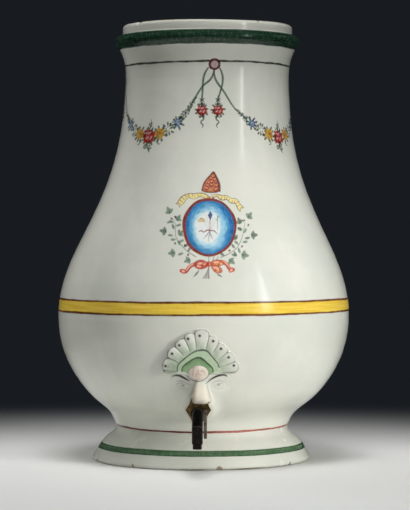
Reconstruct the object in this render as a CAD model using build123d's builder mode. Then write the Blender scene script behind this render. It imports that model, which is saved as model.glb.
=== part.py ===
from build123d import *
import os
from math import cos, pi, radians, sin

os.makedirs("parts", exist_ok=True)

# A tin-glazed earthenware table fountain. Millimetres, +Z up, the origin on the floor under the
# pot's axis. The mask and its tap face -Y.

# ---------------------------------------------------------------- pot, turned about Z
rim_height = 460.0  # the whole pot, foot and collar included
foot_height = 36.0  # where the pedestal meets the pot
waist_radius = 90.0
belly_rise = 120.0  # from the waist to the widest place
belly_radius = 155.0
neck_radius = 87.1
flare_rise = 34.5  # from the narrowest place of the neck to the underside of the roll moulding
flare_radius = 93.4
roll_thickness = 14.5
roll_radius = 98.3  # widest part of the roll moulding
roll_rise = 0.8  # how far the widest part lies above the roll's middle
collar_rise = 11.0  # from the top of the roll moulding to the rim
collar_radius = 90.4
rim_rounding = 3.4
neck_section = 160.0  # height of the pot's uppermost thrown section, down from the rim
wall = 9.0
collar_wall = 9.0
floor_thickness = 12.0
floor_radius = 78.0

# The pot's bends, as shares of the way up and of the way out or in from one size to the next.
swell_shape = [(0.104, 0.097), (0.220, 0.349), (0.398, 0.660), (0.679, 0.923)]
taper_shape = [(0.140, 0.081), (0.357, 0.414), (0.575, 0.750), (0.792, 0.937)]
flare_shape = [(0.690, 0.350)]
curve_steps = 12  # points taken along the pot's curve for a wall or a relief beside it
curve_halvings = 40  # halvings in the search for a height along the curve

# ---------------------------------------------------------------- pedestal foot
foot_radius = 115.0
foot_edge_height = 4.0  # height of the widest part of the foot
foot_edge_tuck = 4.0  # how far the floor ring lies inside it
foot_ring_width = 18.0
foot_wall = 14.0
foot_shape = [(0.290, 0.220), (0.490, 0.380), (0.688, 0.650), (0.875, 0.940)]

# ---------------------------------------------------------------- relief mask
tap_rise = 29.3  # from the waist to the axis of the mouth, the tail pipe and the nuts
mouth_reach = 36.0  # from the pot's face to the flat front of the mouth
mouth_radius = 11.6
mouth_root_radius = 16.0
crest_rise = 36.2  # from the tap's axis to the centre of the feather fan
crest_depth = 6.0
front_sector = 100.0  # degrees of the pot's front that hold the mask
feather_step = 19.5  # degrees from feather to feather
feather_length = 44.4  # the middle feather, from the fan's centre
feather_shares = [0.863, 0.840, 0.856, 0.932, 1.0, 0.932, 0.856, 0.840, 0.863]
feather_notch = 3.4  # how far the notches lie inside the shorter feather's tip
face_rise = 22.7  # from the tap's axis to the middle of the face
face_half_width = 29.0
face_half_height = 24.0
face_depth = 4.2
rosette_half_width = 10.5
rosette_half_height = 7.6
rosette_depth = 8.4
nose_tip_rise = 6.1  # from the tap's axis to the tip
nose_length = 23.0
nose_aside = 2.0  # how far the hand-pressed nose sits to the right of the tap
nose_half_width = 8.8
nose_root_depth = 7.0
nose_overhang = 5.0  # thickness of the nose where it hangs in front of the lock nut

# The nose as shares: height from tip to root, reach from root to front, half width.
nose_shape = [(0.00, 0.92, 0.92), (0.27, 1.00, 1.00), (0.60, 0.42, 0.84), (1.00, 0.00, 0.60)]

# ---------------------------------------------------------------- tap fixings
tail_radius = 6.0
tail_bore = 3.4
hole_clearance = 0.6
thread_clearance = 0.05
pad_proud = 1.0  # how far the flat pad stands inside the wall at the pad's lower edge
pad_radius = 16.0
front_gasket_thickness = 1.6
front_gasket_radius = 10.6
lock_nut_across_flats = 22.0
lock_nut_thickness = 6.0
inner_gasket_thickness = 2.0
inner_gasket_radius = 12.0
back_nut_across_flats = 20.0
back_nut_thickness = 5.0
nut_sides = 6
nut_chamfer = 0.5
tail_end = 2.0  # pipe left proud of the back nut
tail_face = 0.4  # pipe left proud of the lock nut
nut_room = 0.5  # between the lock nut and the pocket under the nose

# ---------------------------------------------------------------- tap
bar_radius = 5.4
bar_drop = 2.5  # how far the bar lies below the middle of the tail pipe
plug_reach = 8.0  # from the pipe's face to the plug's axis
bar_length = 16.0  # from the pipe's face to the first mitre
knee_turn = 45.0  # degrees that each mitre turns the water down
knee_drop = 12.3
spout_bore = 3.0
spout_drop = 20.7  # from the knee's lower joint to the spout's end
tip_radius = 4.5
tip_length = 5.0
boss_radius = 4.5
boss_half_width = 5.15
plug_radius = 3.0
plug_clearance = 0.05
port_radius = 1.6
plug_proud = 0.05  # keeps the washer off the boss, so the plug turns
washer_radius = 4.0
washer_thickness = 0.6
screw_head_radius = 2.9
screw_head_thickness = 1.4
screw_radius = 1.2
screw_length = 3.2
screw_hole_room = 0.2
screw_slot_width = 0.7
screw_slot_depth = 0.6
stem_side = 3.6
stem_clearance = 0.05
stem_proud = 0.3
lever_gap = 0.45  # between the boss and the lever
lever_thickness = 3.2
lever_rounding = 0.8
lever_hub_radius = 3.3
lever_neck_radius = 2.6
lever_neck_drop = 7.0
lever_end_radius = 4.0
lever_length = 25.1
pin_radius = 0.8
pin_proud = 0.15
pin_clearance = 0.03


# ---------------------------------------------------------------- the pot's outline
def blend(start, end, shares):
    """Points between two (radius, height) points, at shares (up, out) of the way."""
    return [
        (start[0] + out * (end[0] - start[0]), start[1] + up * (end[1] - start[1]))
        for up, out in shares
    ]


belly_height = foot_height + belly_rise
collar_height = rim_height - collar_rise
flare_height = collar_height - roll_thickness
neck_height = flare_height - flare_rise
shoulder_top = rim_height - neck_section
waist = (waist_radius, foot_height)
belly = (belly_radius, belly_height)
neck = (neck_radius, neck_height)
flare = (flare_radius, flare_height)
roll_height = flare_height + roll_thickness / 2 + roll_rise
collar_bore = collar_radius - collar_wall
pot_curve = Spline(
    waist,
    *blend(waist, belly, swell_shape),
    belly,
    *blend(belly, neck, taper_shape),
    neck,
)


def share_at(height):
    """Where along the pot's curve a height lies, from 0 to 1."""
    low, high = 0.0, 1.0
    for _ in range(curve_halvings):
        middle = (low + high) / 2
        if (pot_curve @ middle).Y < height:
            low = middle
        else:
            high = middle
    return low


def pot_radius(height):
    """Radius of the pot's outer face at a height."""
    return (pot_curve @ share_at(height)).X


def inner_radius(height):
    """Radius of the pot's inner face at a height, with the wall measured square to the face."""
    return pot_radius(height) - wall / (pot_curve % share_at(height)).Y


def moved_curve(distance, low, high):
    """Points of the pot's curve between two heights, moved square to the face."""
    points = []
    first, last = share_at(low), share_at(high)
    for step in range(curve_steps + 1):
        share = first + (last - first) * step / curve_steps
        along = pot_curve % share
        points.append(pot_curve @ share + distance * Vector(along.Y, -along.X))
    return points


# The mask and the tap lie within a sector of the pot's front, which starts on this plane.
sector_start = radians(-90 - front_sector / 2)
sector_plane = Plane(
    origin=(0, 0, 0),
    x_dir=(cos(sector_start), sin(sector_start), 0),
    z_dir=(sin(sector_start), -cos(sector_start), 0),
)
with BuildPart() as pot_sector:
    with BuildSketch(sector_plane):
        with BuildLine():
            add(pot_curve)
            Polyline(neck, (0, neck_height), (0, foot_height), waist)
        make_face()
    revolve(axis=Axis.Z, revolution_arc=front_sector)

# ---------------------------------------------------------------- places along the tap
floor_height = foot_height + floor_thickness
hole_radius = tail_radius + hole_clearance
tap_height = foot_height + tap_rise
bar_height = tap_height - bar_drop
tap_face = pot_radius(tap_height)  # the pot's face, as a distance in front of its axis
mouth_front = tap_face + mouth_reach
pad_front = inner_radius(tap_height - pad_radius) - pad_proud
lock_nut_back = mouth_front + front_gasket_thickness
pipe_front = lock_nut_back + lock_nut_thickness + tail_face
back_nut_front = pad_front - inner_gasket_thickness
pipe_back = back_nut_front - back_nut_thickness - tail_end
plug_front = pipe_front + plug_reach
bar_front = pipe_front + bar_length
knee_length = knee_drop / sin(radians(knee_turn))
spout_front = bar_front + knee_length * cos(radians(knee_turn))
spout_joint_height = bar_height - knee_drop
spout_end_height = spout_joint_height - spout_drop
nut_corner_radius = lock_nut_across_flats / 2 / cos(pi / nut_sides)
nose_front = pipe_front + nut_room + nose_overhang
nose_tip_height = tap_height + nose_tip_rise
nose_root_height = nose_tip_height + nose_length
crest_height = tap_height + crest_rise
face_height = tap_height + face_rise
feather_reaches = [feather_length * share for share in feather_shares]
washer_side = boss_half_width + plug_proud  # how far the washer's seat lies from the middle
lever_side = boss_half_width + lever_gap
pin_side = lever_side + lever_thickness / 2


def facing(distance, height=tap_height):
    """Upright plane that looks to the front, at a distance in front of the pot's axis."""
    return Plane(origin=(0, -distance, height), x_dir=(1, 0, 0), z_dir=(0, -1, 0))


def across(distance):
    """Upright plane through the plug's axis that looks to the lever's side."""
    return Plane(origin=(distance, -plug_front, bar_height), x_dir=(0, 1, 0), z_dir=(1, 0, 0))


def leaning(distance, height, turn):
    """Plane whose normal looks to the front, turned down by an angle in degrees."""
    normal = (0, -cos(radians(turn)), -sin(radians(turn)))
    return Plane(origin=(0, -distance, height), x_dir=(1, 0, 0), z_dir=normal)


first_mitre = leaning(bar_front, bar_height, knee_turn / 2)
second_mitre = leaning(spout_front, spout_joint_height, 90 - knee_turn / 2)

# ---------------------------------------------------------------- pot
with BuildPart() as tap_pad:
    with BuildSketch(facing(pad_front)):
        Circle(pad_radius)
    extrude(amount=pot_radius(tap_height + pad_radius) - pad_front)
    add(pot_sector.part, mode=Mode.INTERSECT)

with BuildPart() as pot:
    with BuildSketch(Plane.XZ):
        with BuildLine():
            add(pot_curve)
            Spline(neck, *blend(neck, flare, flare_shape), flare)
            ThreePointArc(flare, (roll_radius, roll_height), (collar_radius, collar_height))
            Polyline(
                (collar_radius, collar_height),
                (collar_radius, rim_height),
                (collar_bore, rim_height),
                (collar_bore, flare_height),
            )
            inner_points = moved_curve(-wall, floor_height + wall, neck_height)
            Spline((floor_radius, floor_height), *inner_points, (collar_bore, flare_height))
            Polyline((floor_radius, floor_height), (0, floor_height), (0, foot_height), waist)
        make_face()
    revolve(axis=Axis.Z)
    rim_edges = pot.edges().filter_by(GeomType.CIRCLE).group_by(Axis.Z)[-1]
    fillet(rim_edges, rim_rounding)
    add(tap_pad.part)
    with BuildSketch(facing(0)):
        Circle(hole_radius)
    extrude(amount=mouth_front, mode=Mode.SUBTRACT)


def section(low, high, name):
    """One thrown section of the pot, between two heights; slip joins it to its neighbours."""
    with BuildPart() as piece:
        add(pot.part)
        split(bisect_by=Plane.XY.offset(high), keep=Keep.BOTTOM)
        split(bisect_by=Plane.XY.offset(low), keep=Keep.TOP)
    piece.part.label = name
    return piece


pot_base = section(foot_height, floor_height, "pot_base")
pot_bowl = section(floor_height, belly_height, "pot_bowl")
pot_shoulder = section(belly_height, shoulder_top, "pot_shoulder")
pot_neck = section(shoulder_top, flare_height, "pot_neck")
pot_collar = section(flare_height, rim_height, "pot_collar")

# ---------------------------------------------------------------- foot
foot_edge = (foot_radius, foot_edge_height)
sole_radius = foot_radius - foot_edge_tuck
with BuildPart() as foot:
    with BuildSketch(Plane.XZ):
        with BuildLine():
            Spline(foot_edge, *blend(foot_edge, waist, foot_shape), waist)
            Polyline(
                waist,
                (waist_radius - foot_wall, foot_height),
                (sole_radius - foot_ring_width, 0),
                (sole_radius, 0),
            )
            TangentArc((sole_radius, 0), foot_edge, tangent=(1, 0))
        make_face()
    revolve(axis=Axis.Z)
foot.part.label = "foot"


# ---------------------------------------------------------------- mask
relief_low = foot_height + wall
relief_high = crest_height + max(feather_reaches) + wall


def relief(outline, depth):
    """A raised layer of even depth on the pot's front, within an outline."""
    with BuildPart() as skin:
        with BuildSketch(sector_plane):
            with BuildLine():
                pot_side = pot_curve.trim(share_at(relief_low), share_at(relief_high))
                add(pot_side)
                raised = Spline(*moved_curve(depth, relief_low, relief_high))
                Line(pot_side @ 0, raised @ 0)
                Line(pot_side @ 1, raised @ 1)
            make_face()
        revolve(axis=Axis.Z, revolution_arc=front_sector)
    with BuildPart() as layer:
        extrude(outline, amount=nose_front - pad_front)
        add(skin.part, mode=Mode.INTERSECT)
    return layer.part


def spoke(reach, angle):
    """Point at a distance from the fan's centre, the angle in degrees from the right."""
    return (reach * cos(radians(angle)), reach * sin(radians(angle)))


def feather_angle(place):
    """Direction of a feather; halfway places are the notches between feathers."""
    return 90 + (place - (len(feather_reaches) - 1) / 2) * feather_step


with BuildSketch(facing(pad_front, crest_height)) as feather_fan:
    with BuildLine():
        neighbours = [feather_reaches[0], *feather_reaches, feather_reaches[-1]]
        notches = [
            spoke(min(pair) - feather_notch, feather_angle(place - 0.5))
            for place, pair in enumerate(zip(neighbours, neighbours[1:]))
        ]
        for place, reach in enumerate(feather_reaches):
            ThreePointArc(notches[place], spoke(reach, feather_angle(place)), notches[place + 1])
        Line(notches[-1], notches[0])
    make_face()
with BuildSketch(facing(pad_front, face_height)) as face_outline:
    Ellipse(face_half_width, face_half_height)
with BuildSketch(facing(pad_front, crest_height)) as rosette_outline:
    Ellipse(rosette_half_width, rosette_half_height)

with BuildPart() as nose:
    root_front = pot_radius(nose_root_height) + nose_root_depth
    for up, out, width in nose_shape:
        height = nose_tip_height + up * (nose_root_height - nose_tip_height)
        section_front = root_front + out * (nose_front - root_front)
        section_back = pot_radius(height) - wall / 2
        middle = (section_front + section_back) / 2
        with BuildSketch(Plane(origin=(nose_aside, -middle, height))):
            Ellipse(nose_half_width * width, (section_front - section_back) / 2)
    loft()
    add(pot_sector.part, mode=Mode.SUBTRACT)

with BuildPart() as mouth:
    with BuildSketch(facing(mouth_front)):
        Circle(mouth_radius)
    with BuildSketch(facing(pad_front)):
        Circle(mouth_root_radius)
    loft()
    add(pot_sector.part, mode=Mode.SUBTRACT)

with BuildPart() as mask:
    add(relief(feather_fan.sketch, crest_depth))
    add(relief(face_outline.sketch, face_depth))
    add(relief(rosette_outline.sketch, rosette_depth))
    add(nose.part)
    add(mouth.part)
    with BuildSketch(facing(mouth_front)):
        Circle(nut_corner_radius + nut_room)
    extrude(amount=pipe_front + nut_room - mouth_front, mode=Mode.SUBTRACT)
    with BuildSketch(facing(0)):
        Circle(hole_radius)
    extrude(amount=mouth_front, mode=Mode.SUBTRACT)
mask.part.label = "mask"


# ---------------------------------------------------------------- tap fixings
def ring(plane, outer, inner, thickness, name):
    """A flat ring on a plane."""
    with BuildPart() as piece:
        with BuildSketch(plane):
            Circle(outer)
            Circle(inner, mode=Mode.SUBTRACT)
        extrude(amount=thickness)
    piece.part.label = name
    return piece


def hex_nut(distance, across_flats, thickness, name):
    """A six-sided nut on the tail pipe, its front edges chamfered."""
    with BuildPart() as piece:
        with BuildSketch(facing(distance)):
            RegularPolygon(across_flats / 2, nut_sides, major_radius=False)
        extrude(amount=thickness)
        chamfer(piece.faces().sort_by(Axis.Y)[0].edges(), nut_chamfer)
        with BuildSketch(facing(distance)):
            Circle(tail_radius + thread_clearance)
        extrude(amount=thickness, mode=Mode.SUBTRACT)
    piece.part.label = name
    return piece


front_gasket = ring(facing(mouth_front), front_gasket_radius, hole_radius,
                    front_gasket_thickness, "front_gasket")
inner_gasket = ring(facing(back_nut_front), inner_gasket_radius, hole_radius,
                    inner_gasket_thickness, "inner_gasket")
tail_pipe = ring(facing(pipe_back), tail_radius, tail_bore, pipe_front - pipe_back, "tail_pipe")
lock_nut = hex_nut(lock_nut_back, lock_nut_across_flats, lock_nut_thickness, "lock_nut")
back_nut = hex_nut(back_nut_front - back_nut_thickness, back_nut_across_flats,
                   back_nut_thickness, "back_nut")

# ---------------------------------------------------------------- tap body, knee and spout
with BuildPart() as tap_body:
    with BuildSketch(facing(pipe_front, bar_height)):
        Circle(bar_radius)
    extrude(amount=bar_length + bar_radius)
    split(bisect_by=first_mitre, keep=Keep.BOTTOM)
    with BuildSketch(across(-boss_half_width)):
        Circle(boss_radius)
    extrude(amount=2 * boss_half_width)
    for side in (-1, 1):
        with BuildSketch(across(side * boss_half_width)):
            Circle(boss_radius)
        extrude(amount=side * bar_radius, mode=Mode.SUBTRACT)
    with BuildSketch(across(-boss_half_width)):
        Circle(plug_radius + plug_clearance)
    extrude(amount=2 * boss_half_width, mode=Mode.SUBTRACT)
    with BuildSketch(facing(pipe_front, bar_height)):
        Circle(port_radius)
    extrude(amount=bar_length + bar_radius, mode=Mode.SUBTRACT)
tap_body.part.label = "tap_body"

with BuildPart() as spout_knee:
    with BuildSketch(leaning(bar_front, bar_height, knee_turn)):
        Circle(bar_radius)
        Circle(spout_bore, mode=Mode.SUBTRACT)
    extrude(amount=knee_length + bar_radius, both=True)
    split(bisect_by=first_mitre, keep=Keep.TOP)
    split(bisect_by=second_mitre, keep=Keep.BOTTOM)
spout_knee.part.label = "spout_knee"

with BuildPart() as spout_tube:
    with BuildSketch(Plane(origin=(0, -spout_front, spout_end_height))):
        Circle(tip_radius)
    extrude(amount=tip_length)
    with BuildSketch(Plane(origin=(0, -spout_front, spout_end_height + tip_length))):
        Circle(bar_radius)
    extrude(amount=spout_joint_height + bar_radius - spout_end_height - tip_length)
    split(bisect_by=second_mitre, keep=Keep.TOP)
    with BuildSketch(Plane(origin=(0, -spout_front, spout_end_height))):
        Circle(spout_bore)
    extrude(amount=spout_joint_height + bar_radius - spout_end_height, mode=Mode.SUBTRACT)
spout_tube.part.label = "spout_tube"

# ---------------------------------------------------------------- plug and lever, which turn together
stem_end = lever_side + lever_thickness + stem_proud
screw_seat = washer_side + washer_thickness
with BuildPart() as tap_plug:
    with BuildSketch(across(-washer_side)):
        Circle(plug_radius)
    extrude(amount=washer_side + lever_side)
    with BuildSketch(across(lever_side)):
        Rectangle(stem_side, stem_side)
    extrude(amount=stem_end - lever_side)
    with BuildSketch(Plane(origin=(0, -plug_front, bar_height))):
        Circle(port_radius)
    extrude(amount=plug_radius, both=True, mode=Mode.SUBTRACT)
    with BuildSketch(across(-washer_side)):
        Circle(screw_radius + thread_clearance)
    extrude(amount=screw_length - washer_thickness + screw_hole_room, mode=Mode.SUBTRACT)
    with BuildSketch(facing(plug_front, bar_height)):
        with Locations((pin_side, 0)):
            Circle(pin_radius + pin_clearance)
    extrude(amount=stem_side, both=True, mode=Mode.SUBTRACT)
tap_plug.part.label = "tap_plug"

plug_washer = ring(across(-screw_seat), washer_radius, screw_radius + thread_clearance,
                   washer_thickness, "plug_washer")

with BuildPart() as plug_screw:
    with BuildSketch(across(-screw_seat)):
        Circle(screw_radius)
    extrude(amount=screw_length)
    with BuildSketch(across(-screw_seat)):
        Circle(screw_head_radius)
    extrude(amount=-screw_head_thickness)
    with BuildSketch(across(-screw_seat - screw_head_thickness)):
        Rectangle(screw_slot_width, 2 * screw_head_radius)
    extrude(amount=screw_slot_depth, mode=Mode.SUBTRACT)
plug_screw.part.label = "plug_screw"

with BuildPart() as lever:
    with BuildSketch(across(lever_side)):
        Circle(lever_hub_radius)
        with Locations((0, -lever_neck_drop)):
            Circle(lever_neck_radius)
        make_hull()
    with BuildSketch(across(lever_side)):
        with Locations((0, -lever_neck_drop)):
            Circle(lever_neck_radius)
        with Locations((0, lever_end_radius - lever_length)):
            Circle(lever_end_radius)
        make_hull()
    extrude(amount=lever_thickness)
    fillet(lever.faces().sort_by(Axis.X)[-1].edges(), lever_rounding)
    with BuildSketch(across(lever_side)):
        Rectangle(stem_side + 2 * stem_clearance, stem_side + 2 * stem_clearance)
    extrude(amount=lever_thickness, mode=Mode.SUBTRACT)
    with BuildSketch(facing(plug_front, bar_height)):
        with Locations((pin_side, 0)):
            Circle(pin_radius + pin_clearance)
    extrude(amount=lever_hub_radius, both=True, mode=Mode.SUBTRACT)
lever.part.label = "lever"

with BuildPart() as lever_pin:
    with BuildSketch(facing(plug_front, bar_height)):
        with Locations((pin_side, 0)):
            Circle(pin_radius)
    extrude(amount=lever_hub_radius + pin_proud, both=True)
lever_pin.part.label = "lever_pin"

pieces = [
    pot_base, pot_bowl, pot_shoulder, pot_neck, pot_collar, foot, mask,
    front_gasket, lock_nut, tail_pipe, inner_gasket, back_nut, tap_body, spout_knee, spout_tube,
    tap_plug, plug_washer, plug_screw, lever, lever_pin,
]
for piece in pieces:
    export_step(piece.part, f"parts/{piece.part.label}.step")
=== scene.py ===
from math import cos, pi, radians, sin, sqrt

import bpy
import numpy as np
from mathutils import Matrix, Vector


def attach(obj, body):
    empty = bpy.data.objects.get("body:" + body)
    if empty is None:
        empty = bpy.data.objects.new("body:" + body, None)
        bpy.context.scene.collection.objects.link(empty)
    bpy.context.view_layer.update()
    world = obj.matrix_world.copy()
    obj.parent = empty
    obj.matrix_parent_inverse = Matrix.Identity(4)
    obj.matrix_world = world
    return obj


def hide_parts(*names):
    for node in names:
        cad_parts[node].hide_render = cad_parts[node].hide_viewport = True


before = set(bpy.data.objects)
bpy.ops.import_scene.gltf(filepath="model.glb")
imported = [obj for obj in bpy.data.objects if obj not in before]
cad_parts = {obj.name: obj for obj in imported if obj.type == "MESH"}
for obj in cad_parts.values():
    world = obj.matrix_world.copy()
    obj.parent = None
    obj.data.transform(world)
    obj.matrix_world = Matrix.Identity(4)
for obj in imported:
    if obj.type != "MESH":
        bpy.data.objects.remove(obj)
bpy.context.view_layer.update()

# A tin-glazed earthenware table fountain. Sizes are in millimetres until a mesh is made.
# Heights rise from the floor; angles turn from the front, -Y, towards +X.
MM = 0.001

# ---------------------------------------------------------------- sizes of the pot
RIM_HEIGHT = 460.0
COLLAR_HEIGHT = 449.0
FLARE_HEIGHT = 434.5
NECK_HEIGHT = 400.0
BELLY_HEIGHT = 156.0
WAIST_HEIGHT = 36.0
WAIST_RADIUS = 90.0
BELLY_RADIUS = 155.0
NECK_RADIUS = 87.1
FLARE_RADIUS = 93.4
ROLL_RADIUS = 98.3
ROLL_RISE = 0.8
COLLAR_RADIUS = 90.4
RIM_ROUNDING = 3.4
WALL = 9.0
FLOOR_HEIGHT = 48.0
FLOOR_RADIUS = 78.0
FOOT_RADIUS = 115.0
FOOT_EDGE_HEIGHT = 4.0
FOOT_EDGE_TUCK = 4.0
FOOT_RING_WIDTH = 18.0
FOOT_WALL = 14.0
SWELL_SHAPE = [(0.104, 0.097), (0.220, 0.349), (0.398, 0.660), (0.679, 0.923)]
TAPER_SHAPE = [(0.140, 0.081), (0.357, 0.414), (0.575, 0.750), (0.792, 0.937)]
FLARE_SHAPE = [(0.690, 0.350)]
FOOT_SHAPE = [(0.290, 0.220), (0.490, 0.380), (0.688, 0.650), (0.875, 0.940)]
LIFT = 0.12  # how far a painted skin lies off the glaze below it
FOOT_ASIDE = -2.4  # the foot was luted on a little to the left
RIM_ASIDE = 3.9  # and the pot leans to the right as it rises
BULGE_HEIGHTS = [0, 20, 36, 46, 62, 80]
BULGES = [2.2, 1.7, 3.6, 3.0, 0.9, 0.0]  # how far waist and foot bulge to the left
TUCK = 0.62  # keeps the unevenness of the wall inside its true outline

# ---------------------------------------------------------------- the pot's outline


def held(value):
    """A share, held between 0 and 1."""
    return np.clip(value, 0, 1)


def eased(share):
    """A share that starts and ends softly."""
    share = held(share)
    return share * share * (3 - 2 * share)


def blend(start, end, shares):
    """Points between two (radius, height) points, at shares (up, out) of the way."""
    return [(start[0] + out * (end[0] - start[0]), start[1] + up * (end[1] - start[1]))
            for up, out in shares]


def travelled(points):
    """How far along a line each of its points lies."""
    return np.concatenate([[0], np.cumsum(np.linalg.norm(np.diff(points, axis=0), axis=1))])


def beside(points):
    """Steps of length one to the left of a line, at each of its points."""
    along = np.gradient(points, axis=0)
    along /= np.linalg.norm(along, axis=1)[:, None]
    return np.stack([-along[:, 1], along[:, 0]], 1)


def smooth_line(points, count):
    """Evenly spaced points along a smooth line through the given points."""
    p = np.array(points, float)
    t = travelled(p)
    n = len(t)
    h = np.diff(t)
    a = np.eye(n)
    right = np.zeros(p.shape)
    for i in range(1, n - 1):
        a[i, i - 1:i + 2] = h[i - 1], 2 * (h[i - 1] + h[i]), h[i]
        right[i] = 6 * ((p[i + 1] - p[i]) / h[i] - (p[i] - p[i - 1]) / h[i - 1])
    m = np.linalg.solve(a, right)
    s = np.linspace(0, t[-1], count)
    k = np.clip(np.searchsorted(t, s, side="right") - 1, 0, n - 2)
    after, before, span = (t[k + 1] - s)[:, None], (s - t[k])[:, None], h[k][:, None]
    return ((m[k] * after ** 3 + m[k + 1] * before ** 3) / (6 * span)
            + (p[k] / span - m[k] * span / 6) * after
            + (p[k + 1] / span - m[k + 1] * span / 6) * before)


def thinned(points, count):
    """The same line with evenly spaced points."""
    t = travelled(points)
    s = np.linspace(0, t[-1], count)
    return np.stack([np.interp(s, t, points[:, 0]), np.interp(s, t, points[:, 1])], 1)


def arc_through(start, middle, end, count):
    """Points on the circle's arc from start over middle to end."""
    p = np.array([start, middle, end])
    centre = np.linalg.solve(2 * (p[1:] - p[0]), (p[1:] ** 2).sum(1) - (p[0] ** 2).sum())
    turns = np.unwrap([np.arctan2(y, x) for x, y in p - centre])
    t = np.interp(np.linspace(0, 2, count), [0, 1, 2], turns)
    radius = np.linalg.norm(p[0] - centre)
    return centre + radius * np.stack([np.cos(t), np.sin(t)], 1)


waist = (WAIST_RADIUS, WAIST_HEIGHT)
belly = (BELLY_RADIUS, BELLY_HEIGHT)
neck = (NECK_RADIUS, NECK_HEIGHT)
flare = (FLARE_RADIUS, FLARE_HEIGHT)
foot_edge = (FOOT_RADIUS, FOOT_EDGE_HEIGHT)
foot_line = smooth_line([foot_edge, *blend(foot_edge, waist, FOOT_SHAPE), waist], 60)
pot_line = smooth_line([waist, *blend(waist, belly, SWELL_SHAPE), belly,
                        *blend(belly, neck, TAPER_SHAPE), neck], 400)
flare_line = smooth_line([neck, *blend(neck, flare, FLARE_SHAPE), flare], 30)
roll_height = (FLARE_HEIGHT + COLLAR_HEIGHT) / 2 + ROLL_RISE
roll_line = arc_through(flare, (ROLL_RADIUS, roll_height), (COLLAR_RADIUS, COLLAR_HEIGHT), 28)
face_line = np.concatenate([foot_line[:-1], pot_line, flare_line[1:], roll_line[1:]])


def radius_at(height):
    """Radius of the outer face at a height."""
    return np.interp(height, face_line[:, 1], face_line[:, 0])


def lean(height):
    """How far the pot's middle lies towards +X: it was thrown by hand and leans a little."""
    low = held(1 - np.asarray(height) / 60.0)
    return FOOT_ASIDE * low ** 2 + RIM_ASIDE * eased((np.asarray(height) - 150.0) / 310.0)


def ripple(angle, height):
    """How far the thrown wall lies off its true outline."""
    bulge = np.interp(height, BULGE_HEIGHTS, BULGES) * (0.5 - 0.5 * np.sin(angle)) ** 4
    slow = (0.26 * np.sin(2 * angle + 0.9 + height / 140)
            + 0.18 * np.sin(3 * angle - 1.7 + height / 75))
    rings = (0.045 * np.sin(height / 2.9 + angle)
             + 0.025 * np.sin(height / 1.6 - angle + 2 * np.sin(height / 23)))
    return bulge + slow + rings - TUCK


def set_round(out, angle, height):
    """Points at distances from the pot's leaning middle, at angles and heights."""
    return np.stack([lean(height) + out * np.sin(angle), -out * np.cos(angle), height], -1)


def skin_places(angle, height):
    """Places just off the pot's face, at angles and heights."""
    slope = radius_at(height + 0.5) - radius_at(height - 0.5)
    tilt = 1 / np.sqrt(1 + slope ** 2)
    places = set_round(radius_at(height) + ripple(angle, height) + LIFT * tilt, angle, height)
    places[..., 2] -= LIFT * slope * tilt
    return places


def arc_from(angle, at, radius):
    """How far round places at angles lie from a place, given in degrees."""
    return np.abs((angle - radians(at) + pi) % (2 * pi) - pi) * radius


def oval_share(u, v, middle_u, middle_v, wide, high):
    """0 at the middle of an oval and 1 on its edge, from its half width and half height."""
    return np.hypot((u - middle_u) / wide, (v - middle_v) / high)


def dome(share):
    """Height of a round top, from 1 over its middle to 0 at its edge."""
    return np.sqrt(held(1 - share ** 2))


def towards(turn, reach=1.0):
    """A step in a direction, given in degrees."""
    return np.array([cos(radians(turn)), sin(radians(turn))]) * reach


# ---------------------------------------------------------------- meshes


def stood(name, data):
    """Something new, put into the scene."""
    made = bpy.data.objects.new(name, data)
    bpy.context.scene.collection.objects.link(made)
    return made


def piece(name, points, faces, finish, replaced=()):
    """A smooth mesh of the part that stands still, from points in millimetres."""
    mesh = bpy.data.meshes.new(name)
    mesh.from_pydata((np.asarray(points) * MM).tolist(), [], [list(f) for f in faces])
    mesh.update()
    made = stood(name, mesh)
    mesh.shade_smooth()
    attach(made, "fountain")
    if replaced:
        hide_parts(*replaced)
    mesh.materials.append(finish)
    return mesh


def grid_faces(rows, columns, closed=False, wrapped=False):
    """Faces of a grid of points, whose rows may close and whose last row may meet the first."""
    row = np.arange(rows if wrapped else rows - 1)
    column = np.arange(columns if closed else columns - 1)
    a, b = np.meshgrid(row, column, indexing="ij")
    a2, b2 = (a + 1) % rows, (b + 1) % columns
    faces = np.stack([a * columns + b, a * columns + b2, a2 * columns + b2, a2 * columns + b], -1)
    return faces.reshape(-1, 4)


def give_wear(mesh, values):
    """Keeps how worn each point of a mesh is, for its finish."""
    kept = mesh.attributes.new("wear", "FLOAT", "POINT")
    kept.data.foreach_set("value", np.ascontiguousarray(values, np.float32).ravel())


def give_paint(mesh, colours, cover):
    """Keeps the paint's colour and how much of the glaze it covers, for each point."""
    kept = mesh.attributes.new("paint", "FLOAT_COLOR", "POINT")
    kept.data.foreach_set("color", np.concatenate([colours, cover[:, None]], 1)
                          .astype(np.float32).ravel())


# ---------------------------------------------------------------- finishes


def tone(red, green, blue):
    """A colour given as a painter's 0 to 255 values, as the linear values a shader takes."""
    return tuple((c / 255 / 12.92) if c <= 10 else ((c / 255 + 0.055) / 1.055) ** 2.4
                 for c in (red, green, blue))


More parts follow.
